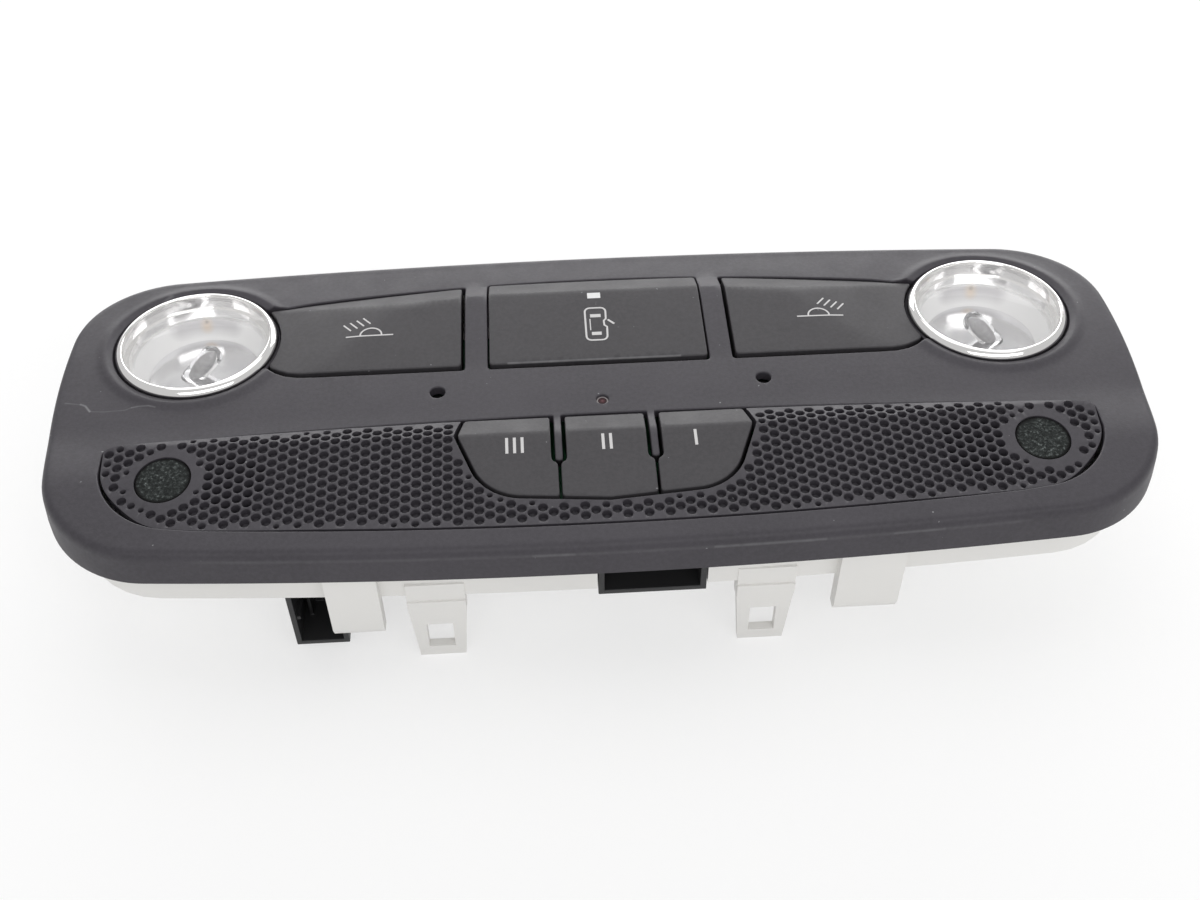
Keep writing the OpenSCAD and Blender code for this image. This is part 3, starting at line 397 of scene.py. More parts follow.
def dense(loop, spacing):
    """The loop with points at most the spacing apart."""
    sides = zip(loop, np.roll(loop, -1, 0))
    return np.concatenate([line(p, q, 2 + int(np.linalg.norm(q - p) / spacing))[:-1] for p, q in sides])


def distance_to(points, loops):
    ring = np.concatenate(loops)
    out = np.full(len(points), 1e9)
    for k in range(0, len(points), 400):
        d = points[k:k + 400, None, :] - ring[None]
        out[k:k + 400] = np.sqrt((d ** 2).sum(2).min(1))
    return out


def within(points, outer, holes):
    """Which points lie inside the outline and in none of its holes."""
    keep = inside(points, outer)
    for hole in holes:
        keep &= ~inside(points, hole)
    return keep


def triangulated(outer, holes, spacing, extra_rows=(), beads=()):
    """Points and triangles that fill the outline around its holes, with a grid of points inside and rings
    of points along each bead, given as its centre and radii."""
    loops = [outer] + list(holes)
    lo, hi = outer.min(0), outer.max(0)
    rows = set(np.arange(lo[1], hi[1], spacing).tolist() + [y for y in extra_rows if lo[1] < y < hi[1]])
    columns = np.arange(lo[0], hi[0], spacing)
    grid = np.array([[x + (i % 2) * spacing / 2, y] for i, y in enumerate(sorted(rows)) for x in columns])
    for centre, radii in beads:
        grid = grid[np.hypot(*(grid - centre).T) > radii[-1] + 0.6]
        grid = np.concatenate([grid] + [circle(centre, r, 120) for r in radii])
    grid = grid[within(grid, outer, holes)]
    clearance = (0.14 if beads else 0.45) * spacing
    if len(grid):
        grid = grid[distance_to(grid, loops) > clearance]
    points, edges = [], []
    for loop in loops:
        base = len(points)
        points += [Vector(p) for p in loop.tolist()]
        edges += [(base + i, base + (i + 1) % len(loop)) for i in range(len(loop))]
    points += [Vector(p) for p in grid.tolist()]
    made, _, faces, origin, _, _ = delaunay_2d_cdt(points, edges, [], 0, 1e-6)
    if len(made) != len(points):
        raise RuntimeError("an outline crosses itself")
    back = [o[0] for o in origin]
    flat = np.array([list(p) for p in points])
    tris = np.array([[back[i] for i in f] for f in faces])
    return flat, tris[within(flat[tris].mean(1), outer, holes)].tolist()


class Skin:
    """Vertices and faces of one piece, in millimetres in the face frame."""

    def __init__(self):
        self.verts, self.faces = [], []

    def add(self, points):
        base = len(self.verts)
        self.verts += [tuple(float(c) for c in p) for p in points]
        return list(range(base, base + len(points)))

    def level(self, points, z):
        """Adds flat points at height z, which is one number or one for each point."""
        return self.add(np.column_stack([points, np.broadcast_to(z, len(points))]))

    def sheet(self, numbers, tris, downwards=False):
        self.faces += [tuple(numbers[i] for i in (reversed(t) if downwards else t)) for t in tris]

    def band(self, low, high):
        n = len(low)
        self.faces += [(low[i], low[(i + 1) % n], high[(i + 1) % n], high[i]) for i in range(n)]

    def bands(self, rings):
        for low, high in zip(rings, rings[1:]):
            self.band(low, high)

    def spun(self, profile, place, segments=128):
        """A closed profile of radius and height turned round an axis; place maps points onto the face."""
        rings = []
        for r, z in profile:
            if r < 1e-6:
                rings.append(self.add([place(0, 0, z)]))
                continue
            a = np.linspace(0, 2 * math.pi, segments, endpoint=False)
            rings.append(self.add([place(r * math.cos(t), r * math.sin(t), z) for t in a]))
        n = len(rings)
        for k in range(n):
            a, b = rings[k], rings[(k + 1) % n]
            if len(a) == 1 and len(b) == 1:
                continue
            if len(a) == 1 or len(b) == 1:
                tip, ring = (a[0], b) if len(a) == 1 else (b[0], a)
                self.faces += [(tip, ring[i], ring[(i + 1) % segments]) for i in range(segments)]
            else:
                self.band(a, b)


# inset and drop below the face of the lip's rings, from the rim up; the first lies at the rim itself
LIP = [(0.0, None), (0.1, 6.6), (0.55, 2.4), (0.68, 1.65), (0.92, 0.98), (1.3, 0.48), (1.8, 0.16),
       (2.4, 0.02), (3.0, 0.0)]
LIP_W, SKIRT_W = 1.6, 1.2


def quarter_turn(loop, r, steps):
    """Rings of a rounded edge, from the loop inwards, each with its drop below the face."""
    angles = [math.radians(90 * i / steps) for i in range(steps + 1)]
    return [(offset(loop, r * (1 - math.cos(a))), r * (1 - math.sin(a))) for a in angles]


def inner_loops(rims):
    """The face's outline and holes, from the last ring of each rim, with the holes turned."""
    return [rims[0][-1][0]] + [rim[-1][0][::-1] for rim in rims[1:]]


def numbered(rims):
    """Numbers of each rim's inner points in the triangulated face, where the holes run the other way."""
    base = 0
    for k, rim in enumerate(rims):
        n = len(rim[-1][0])
        yield list(range(base, base + n)) if k == 0 else list(range(base + n - 1, base - 1, -1))
        base += n


def moulding(outer, holes, height, edge_r, thickness, spacing, rows=(), lip=None, skirt=None, beads=()):
    """A moulded plate: a face at height(x, y) with rounded edges round its outline and its holes, a lip or
    a skirt down from its outline, and an underside a wall's thickness below."""
    skin = Skin()
    rims = [quarter_turn(loop, edge_r, 4) for loop in [outer] + [hole[::-1] for hole in holes]]
    if lip:
        rims[0] = [(lip(d), drop) for d, drop in LIP]
    outline, *openings = inner_loops(rims)
    flat, tris = triangulated(outline, openings, spacing, rows, beads)
    z = height(*flat.T)
    top, under = skin.level(flat, z), skin.level(flat, z - thickness)
    skin.sheet(top, tris)
    skin.sheet(under, tris, True)
    for k, (rim, order) in enumerate(zip(rims, numbered(rims))):
        rings = []
        for points, drop in rim[:-1]:
            measured = outline if k == 0 and lip else points
            rings.append(skin.level(points, -RIM_DROP if drop is None else height(*measured.T) - drop))
        first = rim[0][0]
        if k == 0 and lip:
            below = [skin.level(lip(LIP_W), -RIM_DROP)]
        elif k == 0 and skirt:
            foot = skin.level(first, -skirt)
            below = [skin.level(offset(first, SKIRT_W), -skirt), foot]
        else:
            below = [skin.level(first, height(*first.T) - thickness)]
        skin.bands([[under[i] for i in order]] + below + rings + [[top[i] for i in order]])
    return skin


# Pieces

def at_lamp(side):
    """Maps points of a lamp, whose axis follows the crown, onto the face."""
    tilt = -math.asin(LAMP[1] / CROWN_R)
    turn = Matrix.Rotation(tilt, 3, "X")
    origin = Vector((side * LAMP[0], LAMP[1], crown(LAMP[1])))
    return lambda x, y, z: origin + turn @ Vector((x, y, z))


BULB_LEAN, BULB_FOOT, BULB_R, BULB_L = 42, (2.8, -0.3, -9.7), 2.4, 10.4


def at_bulb(side):
    """Maps points of a bulb, which stands on its foot, onto the face."""
    outer = at_lamp(side)
    lean = Matrix.Rotation(math.radians(-side * BULB_LEAN), 3, "Y")
    foot = Vector((side * BULB_FOOT[0], *BULB_FOOT[1:]))
    return lambda x, y, z: outer(*(lean @ Vector((x, y, z)) + foot))


def on_part(p):
    """A point of the face at x, y, or x, y, z, in the part's frame in metres."""
    z = p[2] if len(p) > 2 else float(bezel_h(p[0], p[1]))
    return p[0] / 1000, (p[1] + FACE_Y) / 1000, (z + FACE_Z) / 1000


def finished(name, mesh, material, body, slot, replaced, sharp):
    """Links a mesh in the part's frame as a piece with its material and body, and hides the nodes it replaces;
    the slot is not used.
    """
    mesh.materials.clear()
    mesh.materials.append(material)
    mesh.polygons.foreach_set("use_smooth", [True] * len(mesh.polygons))
    mesh.set_sharp_from_angle(angle=math.radians(sharp))
    piece = bpy.data.objects.new(name, mesh)
    bpy.context.scene.collection.objects.link(piece)
    piece.modifiers.new("even_shading", "WEIGHTED_NORMAL").keep_sharp = True
    settle(piece)
    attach(piece, body)
    if replaced:
        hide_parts(*replaced)
    return piece


def settle(piece):
    """Turns the piece's modifiers into a plain mesh."""
    bpy.context.view_layer.update()
    graph = bpy.context.evaluated_depsgraph_get()
    made = bpy.data.meshes.new_from_object(piece.evaluated_get(graph), preserve_all_data_layers=True,
                                           depsgraph=graph)
    piece.modifiers.clear()
    piece.data = made


# how near two points are merged, in metres
SEAM, CUP_SEAM = 2e-7, 3e-6


def cleaned_mesh(name, skin, merge=SEAM, parts=()):
    """A mesh of the skin and the other parts, with its seams merged and its faces turned outwards."""
    mesh = bpy.data.meshes.new(name)
    mesh.from_pydata([on_part(v) for v in skin.verts], [], skin.faces)
    form = bmesh.new()
    for part in (mesh, *parts):
        form.from_mesh(part)
    bmesh.ops.remove_doubles(form, verts=form.verts, dist=merge)
    bmesh.ops.recalc_face_normals(form, faces=form.faces)
    form.to_mesh(mesh)
    form.free()
    return mesh


def skinned(name, skin, material, body, slot, sharp=35):
    """A piece that replaces no CAD node."""
    return finished(name, cleaned_mesh(name, skin), material, body, slot, (), sharp)


BODY_OF = {n: body for body, nodes in frame["record"]["behaviour"]["bodies"].items() for n in nodes}
SLOT_OF = {p["node"]: p["material_slot"] for p in frame["record"]["subparts"]}


def in_place_of(node, name, mesh, sharp=35):
    """A piece in place of a CAD node, with the finish of the node's slot and the node's body."""
    slot = SLOT_OF[node]
    return finished(name, mesh, finish_of(slot), BODY_OF[node], slot, [node], sharp)


def moulded_in_place_of(node, name, skin, sharp=35):
    return in_place_of(node, name, cleaned_mesh(name, skin), sharp)


def dressed(node, bevel):
    """A copy of a CAD node with its edges rounded, in place of the node."""
    form = bmesh.new()
    form.from_mesh(frame["nodes"][node].data)
    bmesh.ops.remove_doubles(form, verts=form.verts, dist=1e-6)
    bmesh.ops.dissolve_limit(form, angle_limit=math.radians(0.5), verts=form.verts, edges=form.edges)
    mesh = bpy.data.meshes.new(node + "_dressed")
    form.to_mesh(mesh)
    form.free()
    piece = bpy.data.objects.new(node + "_rounding", mesh)
    bpy.context.scene.collection.objects.link(piece)
    rounding = piece.modifiers.new("rounded_edges", "BEVEL")
    rounding.width = bevel / 1000
    rounding.segments = 2
    rounding.limit_method = "ANGLE"
    rounding.angle_limit = math.radians(35)
    settle(piece)
    mesh = piece.data
    bpy.data.objects.remove(piece)
    return in_place_of(node, node + "_dressed", mesh)


# Materials

def math_node(tree, operation, *values):
    """Output of a math node whose inputs are numbers or sockets."""
    made = tree.nodes.new("ShaderNodeMath")
    made.operation = operation
    for socket, value in zip(made.inputs, values):
        if isinstance(value, (int, float)):
            socket.default_value = value
        else:
            tree.links.new(value, socket)
    return made.outputs[0]


def scaled(colour, amount):
    return tuple(min(1, c * amount) for c in colour)


class Finish:
    """Builds one material from nodes on the part's own coordinates."""

    def __init__(self, name, colour, roughness, **inputs):
        self.material = bpy.data.materials.new(name)
        self.material.use_nodes = True
        self.tree = self.material.node_tree
        self.shader = self.tree.nodes["Principled BSDF"]
        self.shader.inputs["Base Color"].default_value = (*colour, 1)
        self.shader.inputs["Roughness"].default_value = roughness
        for key, value in inputs.items():
            self.shader.inputs[key.replace("_", " ")].default_value = value
        self.material.diffuse_color = (*colour, 1)

    def node(self, kind, **settings):
        made = self.tree.nodes.new(kind)
        for key, value in settings.items():
            setattr(made, key, value)
        return made

    def place(self):
        return self.node("ShaderNodeTexCoord").outputs["Object"]

    def noise(self, scale, detail=2.0, roughness=0.5):
        made = self.node("ShaderNodeTexNoise")
        made.inputs["Scale"].default_value = scale
        made.inputs["Detail"].default_value = detail
        made.inputs["Roughness"].default_value = roughness
        self.tree.links.new(self.place(), made.inputs["Vector"])
        return made.outputs["Fac"]

    def ramp(self, value, stops):
        made = self.node("ShaderNodeValToRGB")
        while len(made.color_ramp.elements) < len(stops):
            made.color_ramp.elements.new(0.5)
        for element, (at, colour) in zip(made.color_ramp.elements, stops):
            element.position = at
            element.color = (*colour, 1) if len(colour) == 3 else colour
        self.tree.links.new(value, made.inputs["Fac"])
        return made.outputs["Color"]

    def math(self, operation, *values):
        return math_node(self.tree, operation, *values)

    def vector(self, operation, *values):
        made = self.node("ShaderNodeVectorMath", operation=operation)
        for socket, value in zip(made.inputs, values):
            if isinstance(value, (tuple, list, Vector)):
                socket.default_value = tuple(value)
            else:
                self.tree.links.new(value, socket)
        return made

    def bump(self, value, strength, distance):
        made = self.node("ShaderNodeBump")
        made.inputs["Strength"].default_value = strength
        made.inputs["Distance"].default_value = distance / 1000
        self.tree.links.new(value, made.inputs["Height"])
        self.tree.links.new(made.outputs["Normal"], self.shader.inputs["Normal"])

    def mixed(self, factor, first, second):
        """Colour that goes from the first to the second; each is a colour or a socket."""
        made = self.node("ShaderNodeMix", data_type="RGBA")
        for socket, value in ((made.inputs[6], first), (made.inputs[7], second)):
            if isinstance(value, (tuple, list)):
                socket.default_value = (*value, 1)
            else:
                self.tree.links.new(value, socket)
        self.tree.links.new(factor, made.inputs[0])
        return made.outputs[2]

    def colour(self, value):
        self.tree.links.new(value, self.shader.inputs["Base Color"])

    def roughness(self, value):
        self.tree.links.new(value, self.shader.inputs["Roughness"])

    def stroke(self, points, width):
        """1 along a line through points of the face, falling to 0 at its width; it masks wear as well as
        painted highlights and painted shade.
        """
        nearest = None
        for p, q in zip(points, points[1:]):
            a, b = Vector(on_part(p)), Vector(on_part(q))
            along = b - a
            from_a = self.vector("SUBTRACT", self.place(), a).outputs["Vector"]
            dot = self.vector("DOT_PRODUCT", from_a, along).outputs["Value"]
            share = self.math("DIVIDE", dot, along.length_squared)
            share = self.math("MINIMUM", self.math("MAXIMUM", share, 0.0), 1.0)
            foot = self.node("ShaderNodeVectorMath", operation="SCALE")
            foot.inputs[0].default_value = along
            self.tree.links.new(share, foot.inputs["Scale"])
            d = self.vector("DISTANCE", from_a, foot.outputs["Vector"]).outputs["Value"]
            nearest = d if nearest is None else self.math("MINIMUM", nearest, d)
        near = self.math("SUBTRACT", 1.0, self.math("DIVIDE", nearest, width / 1000))
        return self.math("MAXIMUM", near, 0.0)


def moulded_plastic(name, colour, roughness, grain, wear_and_painted_light=()):
    """Fine-textured dark plastic with dust and, where strokes are given, scuffs, painted highlights and painted
    shade.
    """
    made = Finish(name, colour, roughness, Specular_IOR_Level=0.42)
    shade = made.ramp(made.noise(38.0, 3.0), [(0.35, scaled(colour, 0.93)), (0.68, scaled(colour, 1.08))])
    coarse = made.ramp(made.noise(1100.0, 2.0, 0.7), [(0.36, (0, 0, 0)), (0.64, (1, 1, 1))])
    shade = made.mixed(made.math("MULTIPLY", coarse, 0.42), shade, scaled(colour, 1.5))
    fine = made.noise(2600.0, 2.0, 0.6)
    specks = made.ramp(made.noise(900.0, 1.0, 0.4), [(0.80, (0, 0, 0)), (0.84, (1, 1, 1))])
    shade = made.mixed(specks, shade, (0.22, 0.22, 0.23))
    # each stroke is a scuff or scratch, or a painted highlight or painted shade
    for points, width, amount, tint in wear_and_painted_light:
        uneven = made.math("ADD", made.noise(420.0, 3.0), 0.15)
        broken = made.math("MULTIPLY", made.stroke(points, width), uneven)
        shade = made.mixed(made.math("MINIMUM", made.math("MULTIPLY", broken, amount), 0.85), shade, tint)
    made.colour(shade)
    gloss = [(0.3, (roughness - 0.04,) * 3), (0.7, (roughness + 0.05,) * 3)]
    made.roughness(made.ramp(made.noise(140.0, 2.0), gloss))
    made.bump(fine, 0.35, grain)
    return made.material


def plain_finish(name, colour, roughness, scale=60.0, variation=0.04, **inputs):
    """A smooth finish whose colour drifts a little."""
    made = Finish(name, colour, roughness, **inputs)
    stops = [(0.3, scaled(colour, 1 - variation)), (0.7, scaled(colour, 1 + variation))]
    made.colour(made.ramp(made.noise(scale, 3.0), stops))
    return made.material


def felt_finish(colour):
    """Dark felt with pale fibres and a painted shadow ring, nearly black, round each disc."""
    made = Finish("felt_cloth", colour, 0.95, Specular_IOR_Level=0.15)
    fibres = made.noise(1500.0, 4.0, 0.75)
    stops = [(at, scaled(colour, amount)) for at, amount in ((0.40, 0.45), (0.56, 1.1), (0.72, 6))]
    cloth = made.ramp(fibres, stops)
    # painted shadow: a nearly black ring round the edge of each disc
    discs = [made.stroke([(x, y), (x, y + 0.01)], FELT_R + 0.6) for x, y in on_both_sides(MIC)]
    rim = made.ramp(made.math("MAXIMUM", *discs), [(0.14, (1, 1, 1)), (0.24, (0, 0, 0))])
    made.colour(made.mixed(rim, cloth, (0.006, 0.006, 0.006)))
    made.bump(fibres, 0.9, 0.25)
    return made.material


def indicator_finish():
    """Dark red light guide with a pale rim and a painted highlight in its middle."""
    made = Finish("red_light_pipe", (0.05, 0.009, 0.01), 0.15)
    middle = made.stroke([(0, 0), (0, 0.01)], 1.5)
    # the last stop, at the middle, is a painted highlight
    made.colour(made.ramp(middle, [(0.20, (0.34, 0.31, 0.31)), (0.28, (0.02, 0.006, 0.008)),
                                   (0.52, (0.05, 0.01, 0.013)), (0.70, (0.24, 0.12, 0.13))]))
    return made.material


def reflector_finish(colour):
    """Pale dish with a grey band and a scorched spot at its rear."""
    made = Finish("lamp_reflector", colour, 0.32, Specular_IOR_Level=0.6)
    shade = made.ramp(made.noise(120.0, 2.0), [(0.3, scaled(colour, 0.96)), (0.75, colour)])
    for side in (-1, 1):
        place = at_lamp(side)
        rear = np.radians(90 - side * 3 + np.array([-24, -12, 0, 12, 24]))
        band = [place(14.6 * math.cos(a), 14.6 * math.sin(a), -5.9) for a in rear]
        spot = [place(side * 0.8, 14.5, -6.1), place(side * 0.8, 14.3, -6.8)]
        dot = [place(side * 0.8, 14.6, -5.6), place(side * 0.8, 14.6, -5.7)]
        marks = ((band, 3.4, 0.8, (0.42, 0.40, 0.42)), (spot, 1.9, 0.8, (0.74, 0.56, 0.38)),
                 (dot, 0.6, 1.0, (0.2, 0.16, 0.14)))
        for points, width, amount, tint in marks:
            shade = made.mixed(made.math("MULTIPLY", made.stroke(points, width), amount), shade, tint)
    made.colour(shade)
    made.bump(made.noise(260.0, 1.0), 0.1, 0.3)
    return made.material


MADE = {}


def finish_of(slot):
    """The material of one of the record's slots, made once."""
    if slot in MADE:
        return MADE[slot]
    s = bpy.context.scene.console_finishes
    face, key, white = tuple(s.face_colour), tuple(s.key_colour), tuple(s.housing_colour)
    makers = {
        "face_plastic": lambda: moulded_plastic("bezel_plastic", face, s.face_roughness, 0.06, FACE_WEAR_AND_PAINTED_LIGHT),
        "grille_plastic": lambda: moulded_plastic("grille_moulding", face, s.face_roughness, 0.05),
        "key_plastic": lambda: moulded_plastic("key_coating", key, s.face_roughness + 0.02, 0.04, KEY_WEAR),
        "housing_plastic": lambda: plain_finish("white_housing", white, 0.42, 25.0, 0.02,
                                                Specular_IOR_Level=0.45),
        "connector_plastic": lambda: plain_finish("black_connector", (0.02, 0.02, 0.021), 0.5),
        "plunger_plastic": lambda: plain_finish("grey_plunger", (0.6, 0.6, 0.6), 0.45),
        "board": lambda: plain_finish("green_board", (0.05, 0.22, 0.1), 0.35, 300.0, 0.12),
        "red_light": indicator_finish,
        "light_pipe": lambda: plain_finish("dark_light_pipe", (0.006, 0.006, 0.006), 0.3),
        "light_window": lambda: plain_finish("white_window", (0.8, 0.8, 0.8), 0.4),
        "screw_steel": lambda: plain_finish("zinc_screw", (0.55, 0.55, 0.57), 0.35, 500.0, 0.06, Metallic=1),
        "bright_ring": lambda: plain_finish("bright_ring", (0.93, 0.92, 0.91), 0.09, 30.0, 0.01, Metallic=1),
        "clear_lens": lambda: plain_finish("clear_lens", (1, 1, 1), 0.03, 20.0, 0.0, Alpha=0.1, IOR=3.2),
        "reflector": lambda: reflector_finish((0.97, 0.965, 0.96)),
        "bulb_glass": lambda: plain_finish("bulb_glass", (0.97, 0.97, 0.97), 0.03, 20.0, 0.0,
                                           Transmission_Weight=1.0, IOR=1.4),
        "contact_brass": lambda: plain_finish("brass_strip", (0.78, 0.6, 0.3), 0.3, 300.0, 0.08, Metallic=1),
        "mic_can": lambda: plain_finish("microphone_can", (0.7, 0.7, 0.72), 0.3, 300.0, 0.05, Metallic=1),
        "boot_rubber": lambda: plain_finish("black_rubber", (0.03, 0.03, 0.03), 0.8),
        "felt": lambda: felt_finish((0.034, 0.038, 0.037)),
    }
    MADE[slot] = makers[slot]()
    return MADE[slot]


def lip_points(*xs):
    """Points at the given x on the front rounding of the lip."""
    loop = console_outline(0)
    front = loop[loop[:, 1] < 0]
    ys = [front[np.argmin(np.abs(front[:, 0] - x)), 1] + 0.62 for x in xs]
    return [(x, y, float(bezel_h(x, y)) - 1.9) for x, y in zip(xs, ys)]


# lines on the face: points, width in millimetres, strength and colour
PALE, SHADE = (0.33, 0.33, 0.34), (0.004, 0.004, 0.004)
FACE_WEAR_AND_PAINTED_LIGHT = [
    ([(-115.3, 6.3), (-111.9, 5.6)], 0.28, 0.25, PALE),
    ([(-111.9, 5.7), (-110.8, 5.1), (-109.6, 3.4)], 0.36, 0.7, PALE),
    ([(-109.6, 3.4), (-106.8, 3.1), (-102.2, 3.3), (-100.8, 4.0)], 0.24, 0.2, PALE),
    ([(-100.8, 4.0), (-99.3, 4.3), (-97.2, 4.2), (-95.8, 3.7)], 0.3, 0.4, PALE),
    # painted highlight: a pale line along the whole front rounding of the lip
    (lip_points(-104, -80, -40, 0, 40, 80, 104), 0.6, 0.13, PALE),
    (lip_points(-16, -8), 0.5, 0.2, PALE),
    (lip_points(20, 42), 0.5, 0.25, PALE),
    (lip_points(56, 66), 0.45, 0.2, PALE),
    ([(-104, 33), (-98, 42)], 0.8, 0.3, PALE),
]
# painted shade: near-black strokes on the fronts of the two fingers, which lie in shade in the gap
FINGER_FRONT = [(SPLIT_X, -18.4, small_key_h(SPLIT_X, -18.4) - d) for d in (1.1, 3.0)]
FACE_WEAR_AND_PAINTED_LIGHT += [([(s * x, y, z) for x, y, z in FINGER_FRONT], 1.0, 4.0, SHADE) for s in (-1, 1)]
KEY_WEAR = [
    ([(-20, 12.3, 0.0), (18, 12.3, 0.0)], 0.35, 0.6, PALE),
    ([(-62, 37.6, -1.9), (-34, 40.4, -2.0)], 0.4, 0.7, PALE),
]


# Settings

def colour_setting(name, description, default):
    return FloatVectorProperty(name=name, description=description, default=default, subtype="COLOR",
                               min=0.0, max=1.0)


def size_setting(name, description, default):
    """A length in millimetres, kept as a plain number because the face is laid out in millimetres."""
    return FloatProperty(name=name, description=description + ", in millimetres", default=default, min=0.0)


def power_setting(name, description, default):
    return FloatProperty(name=name, description="Power of the lamp " + description, default=default, min=0.0,
                         subtype="POWER")


class CONSOLE_PG_finishes(bpy.types.PropertyGroup):
    """Colours and gloss of the console."""

    face_colour: colour_setting("Bezel", "Colour of the bezel and the grille", (0.0435, 0.0398, 0.0475))
    key_colour: colour_setting("Keys", "Colour of the keys", (0.042, 0.0395, 0.0435))
    housing_colour: colour_setting("Housing", "Colour of the rear housing", (0.86, 0.85, 0.825))
    print_colour: colour_setting("Print", "Colour of the signs on the keys", (0.62, 0.61, 0.61))
    face_roughness: FloatProperty(name="Roughness", description="Roughness of the dark plastic",
                                  default=0.5, min=0.0, max=1.0, subtype="FACTOR")


class CONSOLE_PG_forms(bpy.types.PropertyGroup):
    """Sizes that only the looks use."""

    edge_r: size_setting("Edge radius", "Rounding of the bezel's openings", 0.35)
    key_edge_r: size_setting("Key edge", "Rounding of the keys' edges", 0.34)
    dimple_pitch: size_setting("Dimple pitch", "Distance between neighbouring dimples", 2.45)
    dimple_r: size_setting("Dimple radius", "Radius of a dimple at its wall", 0.98)
    dimple_edge: size_setting("Dimple edge", "Rounding of a dimple's edge", 0.11)
    dimple_depth: size_setting("Dimple depth", "Depth of a dimple", 1.3)
    hole_depth: size_setting("Hole depth", "Depth of the open holes", 2.2)
    dimple_sides: IntProperty(name="Dimple sides", description="Sides of a dimple", default=14, min=6,
                              max=24)


class CONSOLE_PG_stage(bpy.types.PropertyGroup):
    """Camera, lamps and floor."""

    lens: FloatProperty(name="Lens", description="Focal length of the camera, in millimetres",
                        default=43.416, min=1.0, subtype="DISTANCE_CAMERA")
    top_light: power_setting("Top light", "overhead", 1.2)
    back_light: power_setting("Back light", "behind", 8.0)
    front_light: power_setting("Front light", "in front", 3.6)
    sky: FloatProperty(name="Sky", description="Strength of the even light", default=0.6, min=0.0)
    floor_colour: colour_setting("Floor", "Colour of the floor as the camera sees it", (1.0, 1.0, 1.0))


# Operators, one for each piece or group of like pieces

class CONSOLE_OT_bezel(bpy.types.Operator):
    """Make the bezel with its openings, dividers, fingers, collars and lamp tubes"""

    bl_idname = "console.bezel"
    bl_label = "Bezel"

    def execute(self, context):
        forms = context.scene.console_forms
        lamp_side = side_opening()
        holes = [middle_opening(), lamp_side, mirrored(lamp_side), grille_opening()]
        holes += [circle((0, 0), INDICATOR_R, 24)]
        holes += [circle(p, FOOT_LIGHT_R, 24) for p in on_both_sides(FOOT_LIGHT)]
        rows = [LARGE_CREST + d for d in (-1, -0.4, 0, 0.4, 1)]
        beads = [(p, BEAD_RINGS) for p in on_both_sides(LAMP)]
        skin = moulding(console_outline(0), holes, bezel_h, forms.edge_r, thickness=2.2, spacing=2.2,
                        rows=rows, lip=console_outline, beads=beads)
        for side, _ in SIDES:
            skin.spun(LAMP_TUBE, at_lamp(side))
        moulded_in_place_of("bezel", "bezel_moulding", skin)
        return {"FINISHED"}


class CONSOLE_OT_large_keys(bpy.types.Operator):
    """Make the middle key and the two side keys"""

    bl_idname = "console.large_keys"
    bl_label = "Large keys"

    def execute(self, context):
        r = context.scene.console_forms.key_edge_r
        rows = [LARGE_CREST + d for d in (-1.2, -0.6, -0.2, 0.2, 0.6, 1.2)]
        side = side_key()
        for node, loop, height in (("door_light_key", middle_key(), large_h),
                                   ("reading_key_right", side, side_h),
                                   ("reading_key_left", mirrored(side), side_h)):
            skin = moulding(loop, [], height, r, thickness=1.3, spacing=1.4, rows=rows, skirt=6.0)
            moulded_in_place_of(node, node + "_cap", skin)
        return {"FINISHED"}


class CONSOLE_OT_small_keys(bpy.types.Operator):
    """Make the three small keys in the grille"""

    bl_idname = "console.small_keys"
    bl_label = "Small keys"

    def execute(self, context):
        r = context.scene.console_forms.key_edge_r * 0.8
        rows = [-GRILLE_CREST + d for d in (-0.8, -0.4, 0, 0.4, 0.8)]
        outer = outer_small_key()
        for node, loop in (("preset_key_1", outer), ("preset_key_2", middle_small_key()),
                           ("preset_key_3", mirrored(outer))):
            skin = moulding(loop, [], small_key_h, r, thickness=1.3, spacing=1.2, rows=rows, skirt=6.0)
            moulded_in_place_of(node, node + "_cap", skin)
        return {"FINISHED"}


class CONSOLE_OT_grille(bpy.types.Operator):
    """Make the grille with its dimples, its open holes and the rims round the microphones"""

    bl_idname = "console.grille"
    bl_label = "Grille"

    def execute(self, context):
        forms = context.scene.console_forms
        sites, opened, radii = dimple_sites(forms)
        angles = np.arange(forms.dimple_sides) * 2 * math.pi / forms.dimple_sides
        polygon = np.stack([np.cos(angles), np.sin(angles)], 1)
        circles = [p + (r + forms.dimple_edge) * polygon for p, r in zip(sites, radii)]
        felt_holes = [circle(p, FELT_R, 60)[::-1] for p in on_both_sides(MIC)]
        rims = [quarter_turn(loop, GRILLE_EDGE, 3) for loop in [grille_loop()] + felt_holes]
        outline, *openings = inner_loops(rims)
        skin = Skin()
        flat, tris = triangulated(outline, openings + circles, 3.0, [-GRILLE_CREST])
        top = skin.level(flat, grille_h(*flat.T))
        skin.sheet(top, tris)
        base, base_tris = triangulated(outline, openings, 6.0)
        bottom = skin.level(base, GRILLE_FOOT)
        skin.sheet(bottom, base_tris, True)
        for rim, order in zip(rims, numbered(rims)):
            rings = [skin.level(p, grille_h(*p.T) - drop) for p, drop in rim[:-1]]
            foot = skin.level(rim[0][0], GRILLE_FOOT)
            skin.bands([[bottom[i] for i in order], foot] + rings + [[top[i] for i in order]])
        cups = []
        for r in np.unique(radii):
            for is_open, depth in ((False, forms.dimple_depth), (True, forms.hole_depth)):
                group = sites[(opened == is_open) & (radii == r)]
                if len(group):
                    cups.append(perforations(group, float(r), forms, depth, finish_of("grille_plastic")))
        in_place_of("grille", "grille_moulding", cleaned_mesh("grille_plate", skin, CUP_SEAM, cups), 50)
        return {"FINISHED"}


